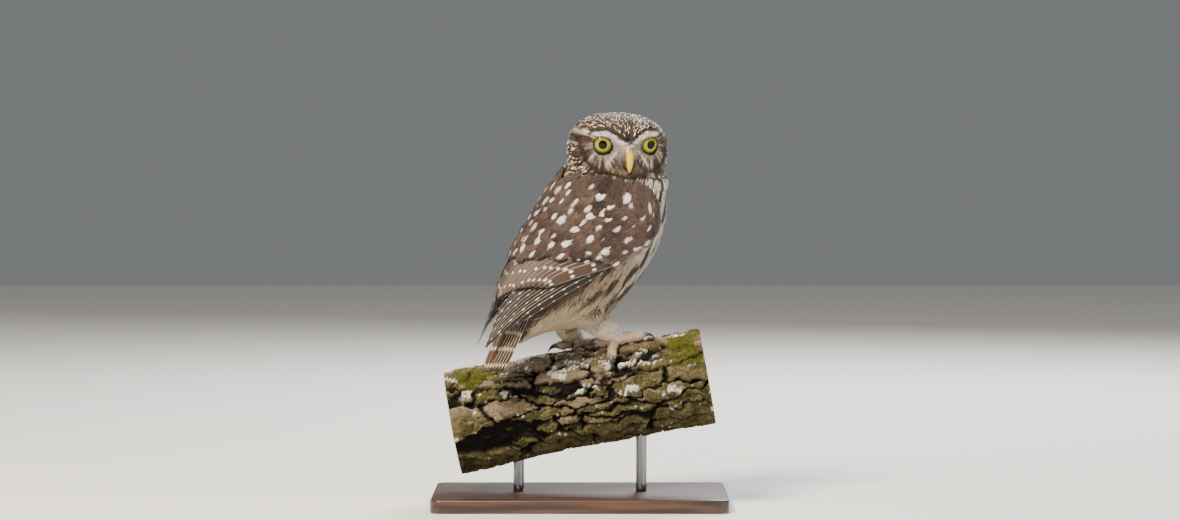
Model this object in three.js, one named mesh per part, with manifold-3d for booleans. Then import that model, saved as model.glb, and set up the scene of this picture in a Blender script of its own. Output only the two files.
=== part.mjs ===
// A little owl, life size, standing on a short cut length of a bark-covered branch, which two rods
// hold over a flat base. The owl's body faces right and away; its head is turned back to look at
// whoever stands in front of the base.
//
// Millimetres, +Z up, origin at the bottom centre of the base. +X runs along the branch towards its
// higher end, and -Y is the side that the owl looks out of.

import * as THREE from "three";
import { mergeVertices } from "three/addons/utils/BufferGeometryUtils.js";
import Module from "manifold-3d";

const wasm = await Module();
wasm.setup();

// Driving dimensions

const GAP = 0.3; // kept between neighbours that touch
const VANE_THICKNESS = 0.6;
const degrees = THREE.MathUtils.degToRad;

const BASE = { length: 220, width: 150, height: 10, corner: 8 };
const ROD = { diameter: 8, sides: 20, places: [-46, 46] };
const PERCH = { length: 194, radius: 37, taper: 0.012, slope: degrees(10.2), height: 79.4 };

// The body's own frame starts at the neck: aft runs down the spine to the tail, back points out of
// the back, and side points to the owl's right.
const NECK = new THREE.Vector3(30, 12.2, 250);
const YAW = degrees(36);
const LEAN = degrees(35.5);
const FORWARD = new THREE.Vector3(Math.cos(YAW), Math.sin(YAW), 0);
const SIDE = new THREE.Vector3(Math.sin(YAW), -Math.cos(YAW), 0);
const AFT = FORWARD.clone().multiplyScalar(-Math.sin(LEAN)).setZ(-Math.cos(LEAN));
const BACK = FORWARD.clone().multiplyScalar(-Math.cos(LEAN)).setZ(Math.sin(LEAN));

// Torso sections: distance aft, height of the back, height of the belly, half width.
const TORSO = [
  [-12, 24, -26, 24],
  [4, 36, -44, 36],
  [24, 38, -53.5, 39.5],
  [52, 35, -55.5, 39.5],
  [80, 34, -52.5, 37],
  [102, 30.5, -45, 31.5],
  [120, 27.5, -31, 24],
  [135, 23, -14, 15],
  [147, 13, -4, 9],
  [156, 8, 2, 4],
];
const TORSO_SIDES = 26;
const TORSO_RINGS = 15;

// The neck is a thick ruff of feathers under the head.
const RUFF = { centre: new THREE.Vector3(26, 8, 243), radii: new THREE.Vector3(40, 35, 21) };

// The head's own frame: side to the owl's right, front out of the face, up to the crown.
const HEAD = new THREE.Vector3(27.7, 6, 266);
const HEAD_RADII = { side: 37.5, front: 32.5, up: 27.5, plan: 2.15, upright: 2.6 };
const FACE_YAW = degrees(14.5);
const FACE_PITCH = degrees(10);
const HEAD_FRONT = new THREE.Vector3(
  Math.sin(FACE_YAW) * Math.cos(FACE_PITCH),
  -Math.cos(FACE_YAW) * Math.cos(FACE_PITCH),
  -Math.sin(FACE_PITCH),
);
const HEAD_SIDE = new THREE.Vector3(-Math.cos(FACE_YAW), -Math.sin(FACE_YAW), 0);
const HEAD_UP = HEAD_SIDE.clone().cross(HEAD_FRONT);

// Swellings and hollows of the head: direction (side, front, up), angular spread, height.
const HEAD_FORMS = [
  [17.5, 27, 9, 0.26, -3.4],
  [11, 29, 17, 0.2, 1.6],
  [23, 22, 17, 0.26, 2.2],
  [0, 32, 6, 0.16, 1.2],
  [0, 31, -7, 0.26, 3.0],
  [26, 20, -6, 0.34, 1.8],
  [14, 26, -14, 0.24, 1.4],
];
const EYE = {
  side: 16.2,
  front: 19.2,
  up: 9.2,
  radius: 9.6,
  outward: degrees(10),
  rim: 7.4, // radius of the ring of lids on the eye
  lid: 1.15, // radius of a lid
  lidOut: 0.8, // how far outside the rim the middle of a lid lies
};

// Culmen line and section of the upper bill: front, up, half width, half depth.
const BILL_UPPER = [
  [27, 8.4, 4.6, 4.0],
  [33, 7.4, 4.6, 4.2],
  [36.4, 3, 4.0, 3.6],
  [38.2, -2.5, 3.0, 2.8],
  [37.8, -7.5, 1.7, 1.7],
  [36.2, -10.8, 0.5, 0.5],
];
const BILL_LOWER = [
  [27, -1.6, 3.2, 1.8],
  [31, -3.6, 2.9, 1.7],
  [33.6, -6.2, 2.0, 1.2],
  [34.4, -8.4, 0.7, 0.5],
];
// Pits in the sides of the upper bill, measured from its second section.
const NOSTRIL = { radius: 1, inward: 0.2, forward: 0.4, down: 1.6 };

// Smooth value at t of a table whose rows start with t: a cubic between two rows, whose slopes come
// from the rows on either side.
function at(rows, t) {
  const last = rows.length - 1;
  let i = 0;
  while (i < last - 1 && t > rows[i + 1][0]) i++;
  const slope = (k, c) => {
    const before = rows[Math.max(k - 1, 0)];
    const after = rows[Math.min(k + 1, last)];
    return (after[c] - before[c]) / (after[0] - before[0]);
  };
  const [p, q] = [rows[i], rows[i + 1]];
  const h = q[0] - p[0];
  const f = THREE.MathUtils.clamp((t - p[0]) / h, 0, 1);
  const [f2, f3] = [f * f, f * f * f];
  return p.map(
    (value, c) =>
      (2 * f3 - 3 * f2 + 1) * value +
      (f3 - 2 * f2 + f) * h * slope(i, c) +
      (3 * f2 - 2 * f3) * q[c] +
      (f3 - f2) * h * slope(i + 1, c),
  );
}

// n + 1 even steps from a to b.
const steps = (a, b, n) => Array.from({ length: n + 1 }, (_, i) => a + ((b - a) * i) / n);

// n angles that go once round.
const round = (n) => steps(0, 2 * Math.PI, n).slice(0, -1);

// A solid from a closed geometry, turned so that its faces point out.
function solid(geometry) {
  const bare = new THREE.BufferGeometry()
    .setAttribute("position", geometry.getAttribute("position").clone())
    .setIndex(geometry.index);
  const merged = mergeVertices(bare, 1e-4);
  const build = (triVerts) =>
    new wasm.Manifold(
      new wasm.Mesh({ numProp: 3, vertProperties: merged.attributes.position.array, triVerts }),
    );
  const triangles = new Uint32Array(merged.index.array);
  const made = build(triangles);
  return made.volume() < 0 ? build(triangles.reverse()) : made;
}

// A geometry from points and triangles.
function geometryOf(points, triangles) {
  const position = new THREE.Float32BufferAttribute(points.flatMap((p) => [p.x, p.y, p.z]), 3);
  return new THREE.BufferGeometry().setAttribute("position", position).setIndex(triangles);
}

// A closed body through rings of points, with a fan over each end.
function loft(rings) {
  const sides = rings[0].length;
  const points = rings.flat();
  const triangles = [];
  for (let r = 0; r < rings.length - 1; r++) {
    for (let k = 0; k < sides; k++) {
      const [a, b] = [r * sides + k, r * sides + ((k + 1) % sides)];
      triangles.push(a, b, b + sides, a, b + sides, a + sides);
    }
  }
  const middle = (ring) =>
    ring.reduce((sum, p) => sum.add(p), new THREE.Vector3()).divideScalar(sides);
  const top = (rings.length - 1) * sides;
  points.push(middle(rings[0]), middle(rings.at(-1)));
  for (let k = 0; k < sides; k++) {
    const next = (k + 1) % sides;
    triangles.push(points.length - 2, next, k, points.length - 1, top + k, top + next);
  }
  return solid(geometryOf(points, triangles));
}

// A closed body between two grids of points, given as rows of [outer, inner] pairs. Both faces are
// split into triangles alike.
function shell(grid) {
  const [rows, columns] = [grid.length, grid[0].length];
  const pairs = grid.flat();
  const under = pairs.length;
  const triangles = [];
  for (let i = 0; i < rows - 1; i++) {
    for (let j = 0; j < columns - 1; j++) {
      const [a, b] = [i * columns + j, (i + 1) * columns + j];
      triangles.push(a, b, b + 1, a, b + 1, a + 1);
      triangles.push(under + a, under + b + 1, under + b, under + a, under + a + 1, under + b + 1);
    }
  }
  const border = [];
  for (let j = 0; j < columns - 1; j++) border.push(j);
  for (let i = 0; i < rows - 1; i++) border.push(i * columns + columns - 1);
  for (let j = columns - 1; j > 0; j--) border.push((rows - 1) * columns + j);
  for (let i = rows - 1; i > 0; i--) border.push(i * columns);
  border.forEach((a, k) => {
    const b = border[(k + 1) % border.length];
    triangles.push(a, b, under + b, a, under + b, under + a);
  });
  const points = [...pairs.map(([outer]) => outer), ...pairs.map(([, inner]) => inner)];
  return solid(geometryOf(points, triangles));
}

// A round bar along a path. Each ring is square to the path, and starts on the side that up shows.
function tube(path, radii, sides, up) {
  const last = path.length - 1;
  return loft(
    path.map((centre, i) => {
      const way = path[Math.min(i + 1, last)].clone().sub(path[Math.max(i - 1, 0)]).normalize();
      const rise = up.clone().addScaledVector(way, -up.dot(way)).normalize();
      const across = way.clone().cross(rise);
      return round(sides).map((angle) =>
        centre
          .clone()
          .addScaledVector(rise, radii[i] * Math.cos(angle))
          .addScaledVector(across, radii[i] * Math.sin(angle)),
      );
    }),
  );
}

// The largest closed surface of a solid.
function largest(made) {
  return made.decompose().reduce((best, piece) => (piece.volume() > best.volume() ? piece : best));
}

const join = (pieces) => pieces.reduce((sum, piece) => sum.add(piece));

// Places in the body's frame and in the head's frame.
function body(aft, back, side) {
  return NECK.clone()
    .addScaledVector(AFT, aft)
    .addScaledVector(BACK, back)
    .addScaledVector(SIDE, side);
}
function head(side, front, up) {
  return HEAD.clone()
    .addScaledVector(HEAD_SIDE, side)
    .addScaledVector(HEAD_FRONT, front)
    .addScaledVector(HEAD_UP, up);
}

// Torso

// A point of the torso at a distance aft and an angle from the back round to the owl's right.
function torsoPoint(aft, angle, grow = 0) {
  const [, back, belly, half] = at(TORSO, aft);
  const [middle, depth] = [(back + belly) / 2, (back - belly) / 2 + grow];
  return body(aft, middle + depth * Math.cos(angle), (half + grow) * Math.sin(angle));
}

function torsoSolid(grow = 0) {
  const [first, last] = [TORSO[0][0], TORSO.at(-1)[0]];
  return loft(
    steps(first, last, TORSO_RINGS).map((aft) =>
      round(TORSO_SIDES).map((angle) => torsoPoint(aft, angle, grow)),
    ),
  );
}

function ruffSolid(grow = 0) {
  const ball = new THREE.SphereGeometry(1, 24, 14)
    .rotateX(Math.PI / 2)
    .scale(RUFF.radii.x + grow, RUFF.radii.y + grow, RUFF.radii.z + grow)
    .translate(...RUFF.centre);
  return solid(ball);
}

// Head

// Distance from the head's middle to its surface in a direction of the head's frame. The head is
// an oval seen from above, and squarer seen from the front.
function headRadius(direction, grow = 0) {
  const { side, front, up, plan, upright } = HEAD_RADII;
  const level = Math.abs(direction.x / side) ** plan + Math.abs(direction.y / front) ** plan;
  const scaled = level ** (upright / plan) + Math.abs(direction.z / up) ** upright;
  const forms = HEAD_FORMS.reduce((sum, [x, y, z, spread, height]) => {
    const near = new THREE.Vector3(Math.sign(direction.x || 1) * x, y, z).normalize();
    return sum + height * Math.exp(-((near.angleTo(direction) / spread) ** 2));
  }, 0);
  return scaled ** (-1 / upright) + forms + grow;
}

function headSolid(grow = 0) {
  const rings = steps(degrees(7), degrees(173), 18).map((polar) =>
    round(30).map((turn) => {
      const direction = new THREE.Vector3(
        Math.sin(polar) * Math.cos(turn),
        Math.cos(polar),
        Math.sin(polar) * Math.sin(turn),
      );
      const place = direction.clone().multiplyScalar(headRadius(direction, grow));
      return head(place.x, place.y, place.z);
    }),
  );
  return loft(rings);
}

// The way an eye looks, for the right eye with hand 1 and for the left with hand -1.
function eyeAxis(hand) {
  return HEAD_SIDE.clone()
    .multiplyScalar(hand * Math.sin(EYE.outward))
    .addScaledVector(HEAD_FRONT, Math.cos(EYE.outward));
}
const eyeCentre = (hand) => head(hand * EYE.side, EYE.front, EYE.up);

function eyeSolid(hand, grow = 0) {
  const centre = eyeCentre(hand);
  const turn = new THREE.Quaternion().setFromUnitVectors(new THREE.Vector3(0, 1, 0), eyeAxis(hand));
  return solid(
    new THREE.SphereGeometry(EYE.radius + grow, 20, 10).applyQuaternion(turn).translate(...centre),
  );
}

// The lids: a ring round the eye that rises from the head.
function lidSolid(hand) {
  const rise = Math.sqrt(EYE.radius ** 2 - EYE.rim ** 2);
  const centre = eyeCentre(hand).addScaledVector(eyeAxis(hand), rise);
  const turn = new THREE.Quaternion().setFromUnitVectors(new THREE.Vector3(0, 0, 1), eyeAxis(hand));
  return solid(
    new THREE.TorusGeometry(EYE.rim + EYE.lidOut, EYE.lid, 6, 18)
      .applyQuaternion(turn)
      .translate(...centre),
  );
}

// A half of the bill: oval rings square to the culmen line.
function billSolid(rows, grow = 0) {
  const rings = rows.map(([front, up, half, deep], i) => {
    const before = rows[Math.max(i - 1, 0)];
    const after = rows[Math.min(i + 1, rows.length - 1)];
    const way = new THREE.Vector2(after[0] - before[0], after[1] - before[1]).normalize();
    return round(10).map((angle) => {
      const out = (deep + grow) * Math.cos(angle);
      return head((half + grow) * Math.sin(angle), front - way.y * out, up + way.x * out);
    });
  });
  return loft(rings);
}

function billUpper() {
  const [front, up, half] = BILL_UPPER[1];
  const { radius, inward, forward, down } = NOSTRIL;
  const nostrils = [-1, 1].map((hand) => {
    const place = head(hand * (half - inward), front + forward, up - down);
    return solid(new THREE.SphereGeometry(radius, 8, 6).translate(...place));
  });
  return nostrils.reduce((bill, nostril) => bill.subtract(nostril), billSolid(BILL_UPPER));
}

// Parting of the flesh into head, neck and torso

// All that lies on one side of a plane, from half a gap past it.
function beyond(point, normal) {
  const reach = 400;
  const turn = new THREE.Quaternion().setFromUnitVectors(new THREE.Vector3(0, 0, 1), normal);
  const middle = point.clone().addScaledVector(normal, (reach + GAP) / 2);
  return solid(new THREE.BoxGeometry(reach, reach, reach).applyQuaternion(turn).translate(...middle));
}

const flesh = (grow = 0) => join([torsoSolid(grow), ruffSolid(grow), headSolid(grow)]);
const CHIN = { point: head(0, 0, -20), normal: HEAD_UP };
const COLLAR = {
  point: new THREE.Vector3(20, 8, 228),
  normal: FORWARD.clone().setZ(3.2).normalize(),
};

function headNode() {
  const above = flesh().intersect(beyond(CHIN.point, CHIN.normal));
  const lidded = join([above, lidSolid(1), lidSolid(-1)]);
  const cut = [
    eyeSolid(1, GAP),
    eyeSolid(-1, GAP),
    billSolid(BILL_UPPER, GAP),
    billSolid(BILL_LOWER, GAP),
  ];
  return largest(lidded.subtract(join(cut)));
}

function neckNode() {
  const below = beyond(CHIN.point, CHIN.normal.clone().negate());
  return largest(flesh().intersect(below).intersect(beyond(COLLAR.point, COLLAR.normal)));
}

function torsoNode() {
  return largest(flesh().intersect(beyond(COLLAR.point, COLLAR.normal.clone().negate())));
}

// Wings

// Outer surface of the folded wing: distance aft, its height over the back, its lowest line, half
// width, then the angles of its upper edge and of its lower edge, in degrees from the back.
const WING = [
  [8, 37, -46, 39, 22, 96],
  [32, 41, -54, 45, 4, 119],
  [58, 42, -54, 47, 1.8, 107],
  [85, 43, -50, 45, 1.8, 94],
  [112, 41, -36, 38, 2, 82],
  [138, 38, -20, 27, 3, 72],
  [160, 34, -6, 18, 6, 60],
  [178, 31, 4, 11, 14, 44],
];
// The flesh of the wing: the line where it starts, its end aft, and the depths of its faces under
// the wing's surface. Its shoulder swells out, ends, and sinks under the feathers.
const WING_CORE = {
  start: 12,
  end: 122,
  front: -4.4,
  over: -0.8,
  under: -4.9,
  deep: -11,
  thins: 96, // from here its inner face rises to the depth at its end
  tail: -6.2,
};
const SHOULDER = { swell: 17, flat: 29, sunk: 34 };

// The tiers of feathers, from the primaries out to the coverts. Each has a count, the share of the
// wing's breadth that it fills near its roots and at its tips, the line that its roots lie under
// and the line of its tips. SLANT is how much further aft a line lies on the back than on the edge.
const SLANT = 28;
// Radius of the wing's surface across the feathers. A vane is flat across, so a broad one has to
// stand higher above its neighbour.
const WING_CURVE = 40;
const TIERS = [
  {
    count: 7,
    from: [0.6, 1],
    to: [0, 1],
    cover: 92,
    slant: 60,
    tips: [136, 150, 163, 172, 178, 177, 164, 148],
  },
  { count: 8, from: [0.02, 1], to: [0, 0.74], cover: 78, end: 112 },
  { count: 8, from: [0.01, 1], to: [0, 1], cover: 50, end: 78 },
  { count: 7, from: [0.02, 1], to: [0, 1], cover: 33, end: 50 },
];
// Layering of the vanes: how deep the middle of one lies at its tip, under the tips of the tier
// above, and at its root, how far back it is rooted, its half width as a share of the spacing, and
// how that width goes from root to tip.
const LAYER = {
  tip: -1,
  covered: -3.6,
  root: -5.7,
  rooted: 13,
  half: 0.7,
  taper: [0.7, 0.9, 1, 1, 0.84, 0.42],
};

// A place on the folded wing: distance aft, share from its upper edge to its lower edge, height
// over its outer surface. hand is 1 for the right wing and -1 for the left.
function wingPoint(hand, aft, across, height = 0) {
  const [, back, belly, half, upper, lower] = at(WING, aft);
  const angle = degrees(upper + (lower - upper) * across);
  const [middle, depth] = [(back + belly) / 2, (back - belly) / 2 + height];
  return body(aft, middle + depth * Math.cos(angle), hand * (half + height) * Math.sin(angle));
}

// Breadth of the wing over its surface at a distance aft.
function wingBreadth(aft) {
  const line = steps(0, 1, 8).map((across) => wingPoint(1, aft, across));
  return line.slice(1).reduce((sum, p, i) => sum + p.distanceTo(line[i]), 0);
}

function wingCore(hand) {
  const { start, end, front, over, under, deep, thins, tail } = WING_CORE;
  const { swell, flat, sunk } = SHOULDER;
  const { smoothstep, lerp } = THREE.MathUtils;
  const shoulder = [[start, front], [swell, over], [flat, over], [sunk, under]];
  const across = steps(0.01, 0.985, 8);
  const pair = (aft, share, outer) => [
    wingPoint(hand, aft, share, outer),
    wingPoint(hand, aft, share, lerp(deep, tail, smoothstep(aft, thins, end))),
  ];
  const slant = (share) => SLANT * (1 - share);
  return shell([
    ...shoulder.map(([line, outer]) => across.map((share) => pair(line + slant(share), share, outer))),
    ...steps(0, 1, 4)
      .slice(1)
      .map((t) => across.map((share) => pair(lerp(sunk + slant(share), end, t), share, under))),
  ]);
}

// One vane of a tier. Its rows run from the sunk root to a rounded tip. Across it, the height rises
// towards the wing's lower edge, so that it lies over its lower neighbour.
function wingVane(hand, tier, k) {
  const { lerp, mapLinear, clamp } = THREE.MathUtils;
  const share = (k + 0.5) / tier.count;
  const slant = (band) => (tier.slant ?? SLANT) * (1 - lerp(band[0], band[1], share));
  const near = tier.cover + slant(tier.from);
  const end = tier.tips
    ? at(tier.tips.map((tip, i) => [i / (tier.tips.length - 1), tip]), share)[1]
    : tier.end + slant(tier.to);
  const surface = tier.tips ? Math.max(...tier.tips) : end;
  const aftOf = [near - LAYER.rooted, ...[0, 0.35, 0.7, 0.91, 1].map((t) => lerp(near, end, t))];
  return shell(
    aftOf.map((aft, i) => {
      const blend = clamp(mapLinear(aft, near, end, 0.1, 1.1), 0, 1);
      const low = lerp(tier.from[0], tier.to[0], blend);
      const high = lerp(tier.from[1], tier.to[1], blend);
      const breadth = wingBreadth(aft);
      const pitch = ((high - low) * breadth) / tier.count;
      const rise = VANE_THICKNESS + GAP + (2 * LAYER.half * pitch) ** 2 / (8 * WING_CURVE);
      const depth = i ? mapLinear(aft, near, surface, LAYER.covered, LAYER.tip) : LAYER.root;
      return [-1, 1].map((side) => {
        const offset = side * LAYER.half * pitch * LAYER.taper[i];
        const across = clamp(lerp(low, high, share) + offset / breadth, 0, 1);
        const height = depth + (rise / pitch) * offset;
        return [
          wingPoint(hand, aft, across, height),
          wingPoint(hand, aft, across, height - VANE_THICKNESS),
        ];
      });
    }),
  );
}

function wingNode(hand) {
  const vanes = TIERS.flatMap((tier) =>
    Array.from({ length: tier.count }, (_, k) => wingVane(hand, tier, k)),
  );
  return largest(join([wingCore(hand), ...vanes]).subtract(flesh(GAP)));
}

// Tail

// Distance aft, height of its top along the middle, half width.
const TAIL = [
  [122, 22, 10],
  [140, 20.5, 12.5],
  [164, 18.5, 15.5],
  [191, 15.5, 17.5],
];
// Feathers on each side: how far one lies under the next, how far the tail's sides droop, the root
// and tips aft, how much shorter each one is, and the half width of one as a share of the tail's.
const TAIL_FEATHERS = {
  count: 6,
  layer: 0.86,
  arch: 3.2,
  root: 126,
  tip: 191,
  shorter: 0.9,
  first: 0.14, // share of the tail's half width at which the middle feather lies
  half: 0.3,
  thickness: 0.54,
  taper: [0.7, 0.85, 1, 1, 0.82, 0.4],
};
const TAIL_CORE = { start: 122, end: 147, half: 0.86, over: -0.4, deep: 6.2 };

function tailPoint(aft, side, depth) {
  const [, top, half] = at(TAIL, aft);
  return body(aft, top - TAIL_FEATHERS.arch * (side / half) ** 2 - depth, side);
}

function tailFeather(hand, k) {
  const { count, layer, root, tip, shorter, first, half, thickness, taper } = TAIL_FEATHERS;
  const end = tip - shorter * k;
  const depth = layer * (k + (hand > 0 ? 0 : 0.5));
  return shell(
    [0, 0.25, 0.5, 0.78, 0.93, 1].map((t, i) => {
      const aft = root + (end - root) * t;
      const spread = at(TAIL, aft)[2];
      const middle = hand * spread * (first + ((1 - half - first) * k) / (count - 1));
      return [-1, 0, 1].map((side) => {
        const place = middle + side * half * spread * taper[i];
        return [tailPoint(aft, place, depth), tailPoint(aft, place, depth + thickness)];
      });
    }),
  );
}

function tailNode() {
  const { start, end, half, over, deep } = TAIL_CORE;
  const core = shell(
    steps(start, end, 4).map((aft) => {
      const reach = half * at(TAIL, aft)[2];
      return steps(-reach, reach, 6).map((side) => [
        tailPoint(aft, side, over),
        tailPoint(aft, side, deep),
      ]);
    }),
  );
  const feathers = [1, -1].flatMap((hand) =>
    Array.from({ length: TAIL_FEATHERS.count }, (_, k) => tailFeather(hand, k)),
  );
  return largest(join([core, ...feathers]).subtract(torsoSolid(GAP)));
}

// Perch

const PERCH_ALONG = new THREE.Vector3(Math.cos(PERCH.slope), 0, Math.sin(PERCH.slope));
const PERCH_UP = new THREE.Vector3(-Math.sin(PERCH.slope), 0, Math.cos(PERCH.slope));
const PERCH_ACROSS = new THREE.Vector3(0, 1, 0);

// A point of the branch at a distance along it and an angle round it from its top, away from the
// front. Slow waves make it lumpy, as old bark is.
function perchPoint(along, turn, height = 0) {
  const reach =
    PERCH.radius -
    PERCH.taper * along +
    0.8 * Math.sin(3 * turn + 0.9 + along / 38) +
    0.6 * Math.sin(5 * turn - along / 23) +
    0.5 * Math.sin(2 * turn + along / 17) +
    height;
  return new THREE.Vector3(0, 0, PERCH.height)
    .addScaledVector(PERCH_ALONG, along)
    .addScaledVector(PERCH_UP, reach * Math.cos(turn))
    .addScaledVector(PERCH_ACROSS, reach * Math.sin(turn));
}

function perchSolid(grow = 0) {
  const half = PERCH.length / 2 + grow;
  return loft(
    steps(-half, half, 22).map((along) => round(24).map((turn) => perchPoint(along, turn, grow))),
  );
}

// Legs and feet

// Leg: centre and radius from the thigh down to the ankle.
const LEGS = {
  right: [
    [0, -23, 156, 16],
    [6, -20, 145, 12],
    [13.5, -17, 136.5, 8.6],
    [20.8, -15.3, 131.2, 7.2],
  ],
  left: [
    [-14, 8, 152, 14],
    [-12, 10, 140, 10],
    [-9.5, 12, 131, 7.8],
    [-6.4, 13, 126.6, 7],
  ],
};
// Foot: places on the branch as [distance along it, degrees round it]. A toe runs from its root to
// its claw's root, and the last place is the claw's tip. Toe 1 points back, and 2 to 4 lie from the
// inner side to the outer.
const FEET = {
  right: {
    ankle: [35.3, -19.5],
    toes: [
      [[33, -18], [26.5, -15], [20.5, -12], [12.5, -12]],
      [[35, -17], [42, -3], [46, 9], [50, 21]],
      [[36, -20], [46, -19], [55.5, -19], [63, -20]],
      [[33, -24], [30.5, -36], [29.2, -46], [27.8, -57]],
    ],
  },
  left: {
    ankle: [6.4, 19.5],
    toes: [
      [[5, 17], [-2, 13], [-9.5, 10], [-17.5, 8]],
      [[5.5, 14], [3.5, 4], [2.2, -3], [1.6, -15]],
      [[8, 19], [16, 20], [24, 21], [31, 23]],
      [[6.5, 24], [8, 36], [9, 46], [9.5, 57]],
    ],
  },
};
const ANKLE = 5;
const TOE = { radii: [3.5, 3.3, 3.1, 3.3, 2.6], sides: 8 };
const CLAW = {
  radii: [2.1, 2.1, 1.7, 1.2, 0.7, 0.3],
  sides: 8,
  rooted: 0.6,
  reach: 4.4,
  arch: 2.4,
  tip: 0.7,
};

const onPerch = ([along, turn], height) => perchPoint(along, degrees(turn), height);
const perchOutward = (place) => onPerch(place, 1).sub(onPerch(place, 0)).normalize();

// The middle line of a toe, on the bark.
function toePath(toe) {
  const height = Math.max(...TOE.radii) + GAP;
  const curve = new THREE.CatmullRomCurve3(toe.slice(0, 3).map((place) => onPerch(place, height)));
  return curve.getPoints(TOE.radii.length - 1);
}

function legNode(which) {
  const rows = LEGS[which];
  const path = rows.map(([x, y, z]) => new THREE.Vector3(x, y, z));
  const leg = tube(path, rows.map((row) => row[3]), 14, PERCH_ACROSS);
  return largest(leg.subtract(torsoSolid(GAP)));
}

function footNode(which) {
  const { ankle, toes } = FEET[which];
  const ball = onPerch(ankle, ANKLE + GAP);
  const [end, before] = [LEGS[which].at(-1), LEGS[which].at(-2)];
  const top = new THREE.Vector3(...end);
  const way = top.clone().sub(new THREE.Vector3(...before)).normalize();
  const stub = tube(
    [top.clone().addScaledVector(way, GAP), top.clone().addScaledVector(way, 1.5), ball],
    [end[3] - 0.3, end[3] - 0.4, ANKLE - 0.6],
    12,
    PERCH_ACROSS,
  );
  const pieces = toes.map((toe) => tube(toePath(toe), TOE.radii, TOE.sides, perchOutward(toe[1])));
  const heel = solid(new THREE.SphereGeometry(ANKLE, 12, 8).translate(...ball));
  return largest(join([stub, heel, ...pieces]));
}

function clawNode(which, k) {
  const toe = FEET[which].toes[k];
  const [before, end] = toePath(toe).slice(-2);
  const way = end.clone().sub(before).normalize();
  const up = perchOutward(toe[2]);
  const root = end.clone().addScaledVector(way, GAP);
  const bend = root.clone().addScaledVector(way, CLAW.rooted);
  const curve = new THREE.QuadraticBezierCurve3(
    bend,
    bend.clone().addScaledVector(way, CLAW.reach).addScaledVector(up, CLAW.arch),
    onPerch(toe[3], CLAW.tip),
  );
  const path = [root, ...curve.getPoints(CLAW.radii.length - 2)];
  return tube(path, CLAW.radii, CLAW.sides, up);
}

// Stand

function standBase() {
  const { length, width, height, corner } = BASE;
  const [x, y] = [length / 2, width / 2];
  const outline = new THREE.Shape()
    .moveTo(corner - x, -y)
    .lineTo(x - corner, -y)
    .absarc(x - corner, corner - y, corner, -Math.PI / 2, 0)
    .absarc(x - corner, y - corner, corner, 0, Math.PI / 2)
    .absarc(corner - x, y - corner, corner, Math.PI / 2, Math.PI)
    .absarc(corner - x, corner - y, corner, Math.PI, 1.5 * Math.PI);
  return solid(
    new THREE.ExtrudeGeometry(outline, { depth: height, bevelEnabled: false, curveSegments: 6 }),
  );
}

function standRod(x) {
  const bottom = BASE.height + GAP;
  const rod = new THREE.CylinderGeometry(ROD.diameter / 2, ROD.diameter / 2, PERCH.height, ROD.sides)
    .rotateX(Math.PI / 2)
    .translate(x, 0, bottom + PERCH.height / 2);
  return largest(solid(rod).subtract(perchSolid(GAP)));
}

// Assembly

const group = new THREE.Group();

function add(name, made, color, roughness, metalness = 0) {
  const { vertProperties, triVerts } = made.getMesh();
  const geometry = new THREE.BufferGeometry()
    .setAttribute("position", new THREE.Float32BufferAttribute(vertProperties, 3))
    .setIndex([...triVerts]);
  const mesh = new THREE.Mesh(
    geometry,
    new THREE.MeshStandardMaterial({ color, roughness, metalness }),
  );
  mesh.name = name;
  group.add(mesh);
}

add("head", headNode(), "#8a735f", 0.9);
add("neck", neckNode(), "#7b6552", 0.9);
add("torso", torsoNode(), "#b9a68e", 0.9);
add("bill_upper", billUpper(), "#d9bf7a", 0.4);
add("bill_lower", billSolid(BILL_LOWER).subtract(billSolid(BILL_UPPER, GAP)), "#b79a5c", 0.4);
for (const [side, hand] of [["left", -1], ["right", 1]]) {
  add(`eye_${side}`, eyeSolid(hand), "#cfc559", 0.1);
  add(`wing_${side}`, wingNode(hand), "#765a48", 0.85);
  add(`leg_${side}`, legNode(side), "#d6ceba", 0.9);
  add(`foot_${side}`, footNode(side), "#a98968", 0.8);
  for (const k of [0, 1, 2, 3]) add(`claw_${side}_${k + 1}`, clawNode(side, k), "#2b2522", 0.35);
}
add("tail", tailNode(), "#99735d", 0.85);
add("perch", perchSolid(), "#665c38", 1);
add("stand_base", standBase(), "#3b2c22", 0.5);
add("stand_rod_left", standRod(ROD.places[0]), "#b5b7ba", 0.3, 1);
add("stand_rod_right", standRod(ROD.places[1]), "#b5b7ba", 0.3, 1);

export default group;
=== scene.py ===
# %% [markdown]
# # A little owl on a branch
# This lesson dresses a life-size museum model of a little owl. The imported solids give the frame:
# where the body, wings, legs, branch and stand are. Everything that the eye reads as owl, which is
# feathers, eyes, horn and bark, is worked out here over the same named sizes.
#
# Loading the frame comes first. Its box is kept, because the dressed owl has to stay inside it. Its box
# is kept, and at the end the dressed owl's box is measured against it.

# %% Load the frame
import math

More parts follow.
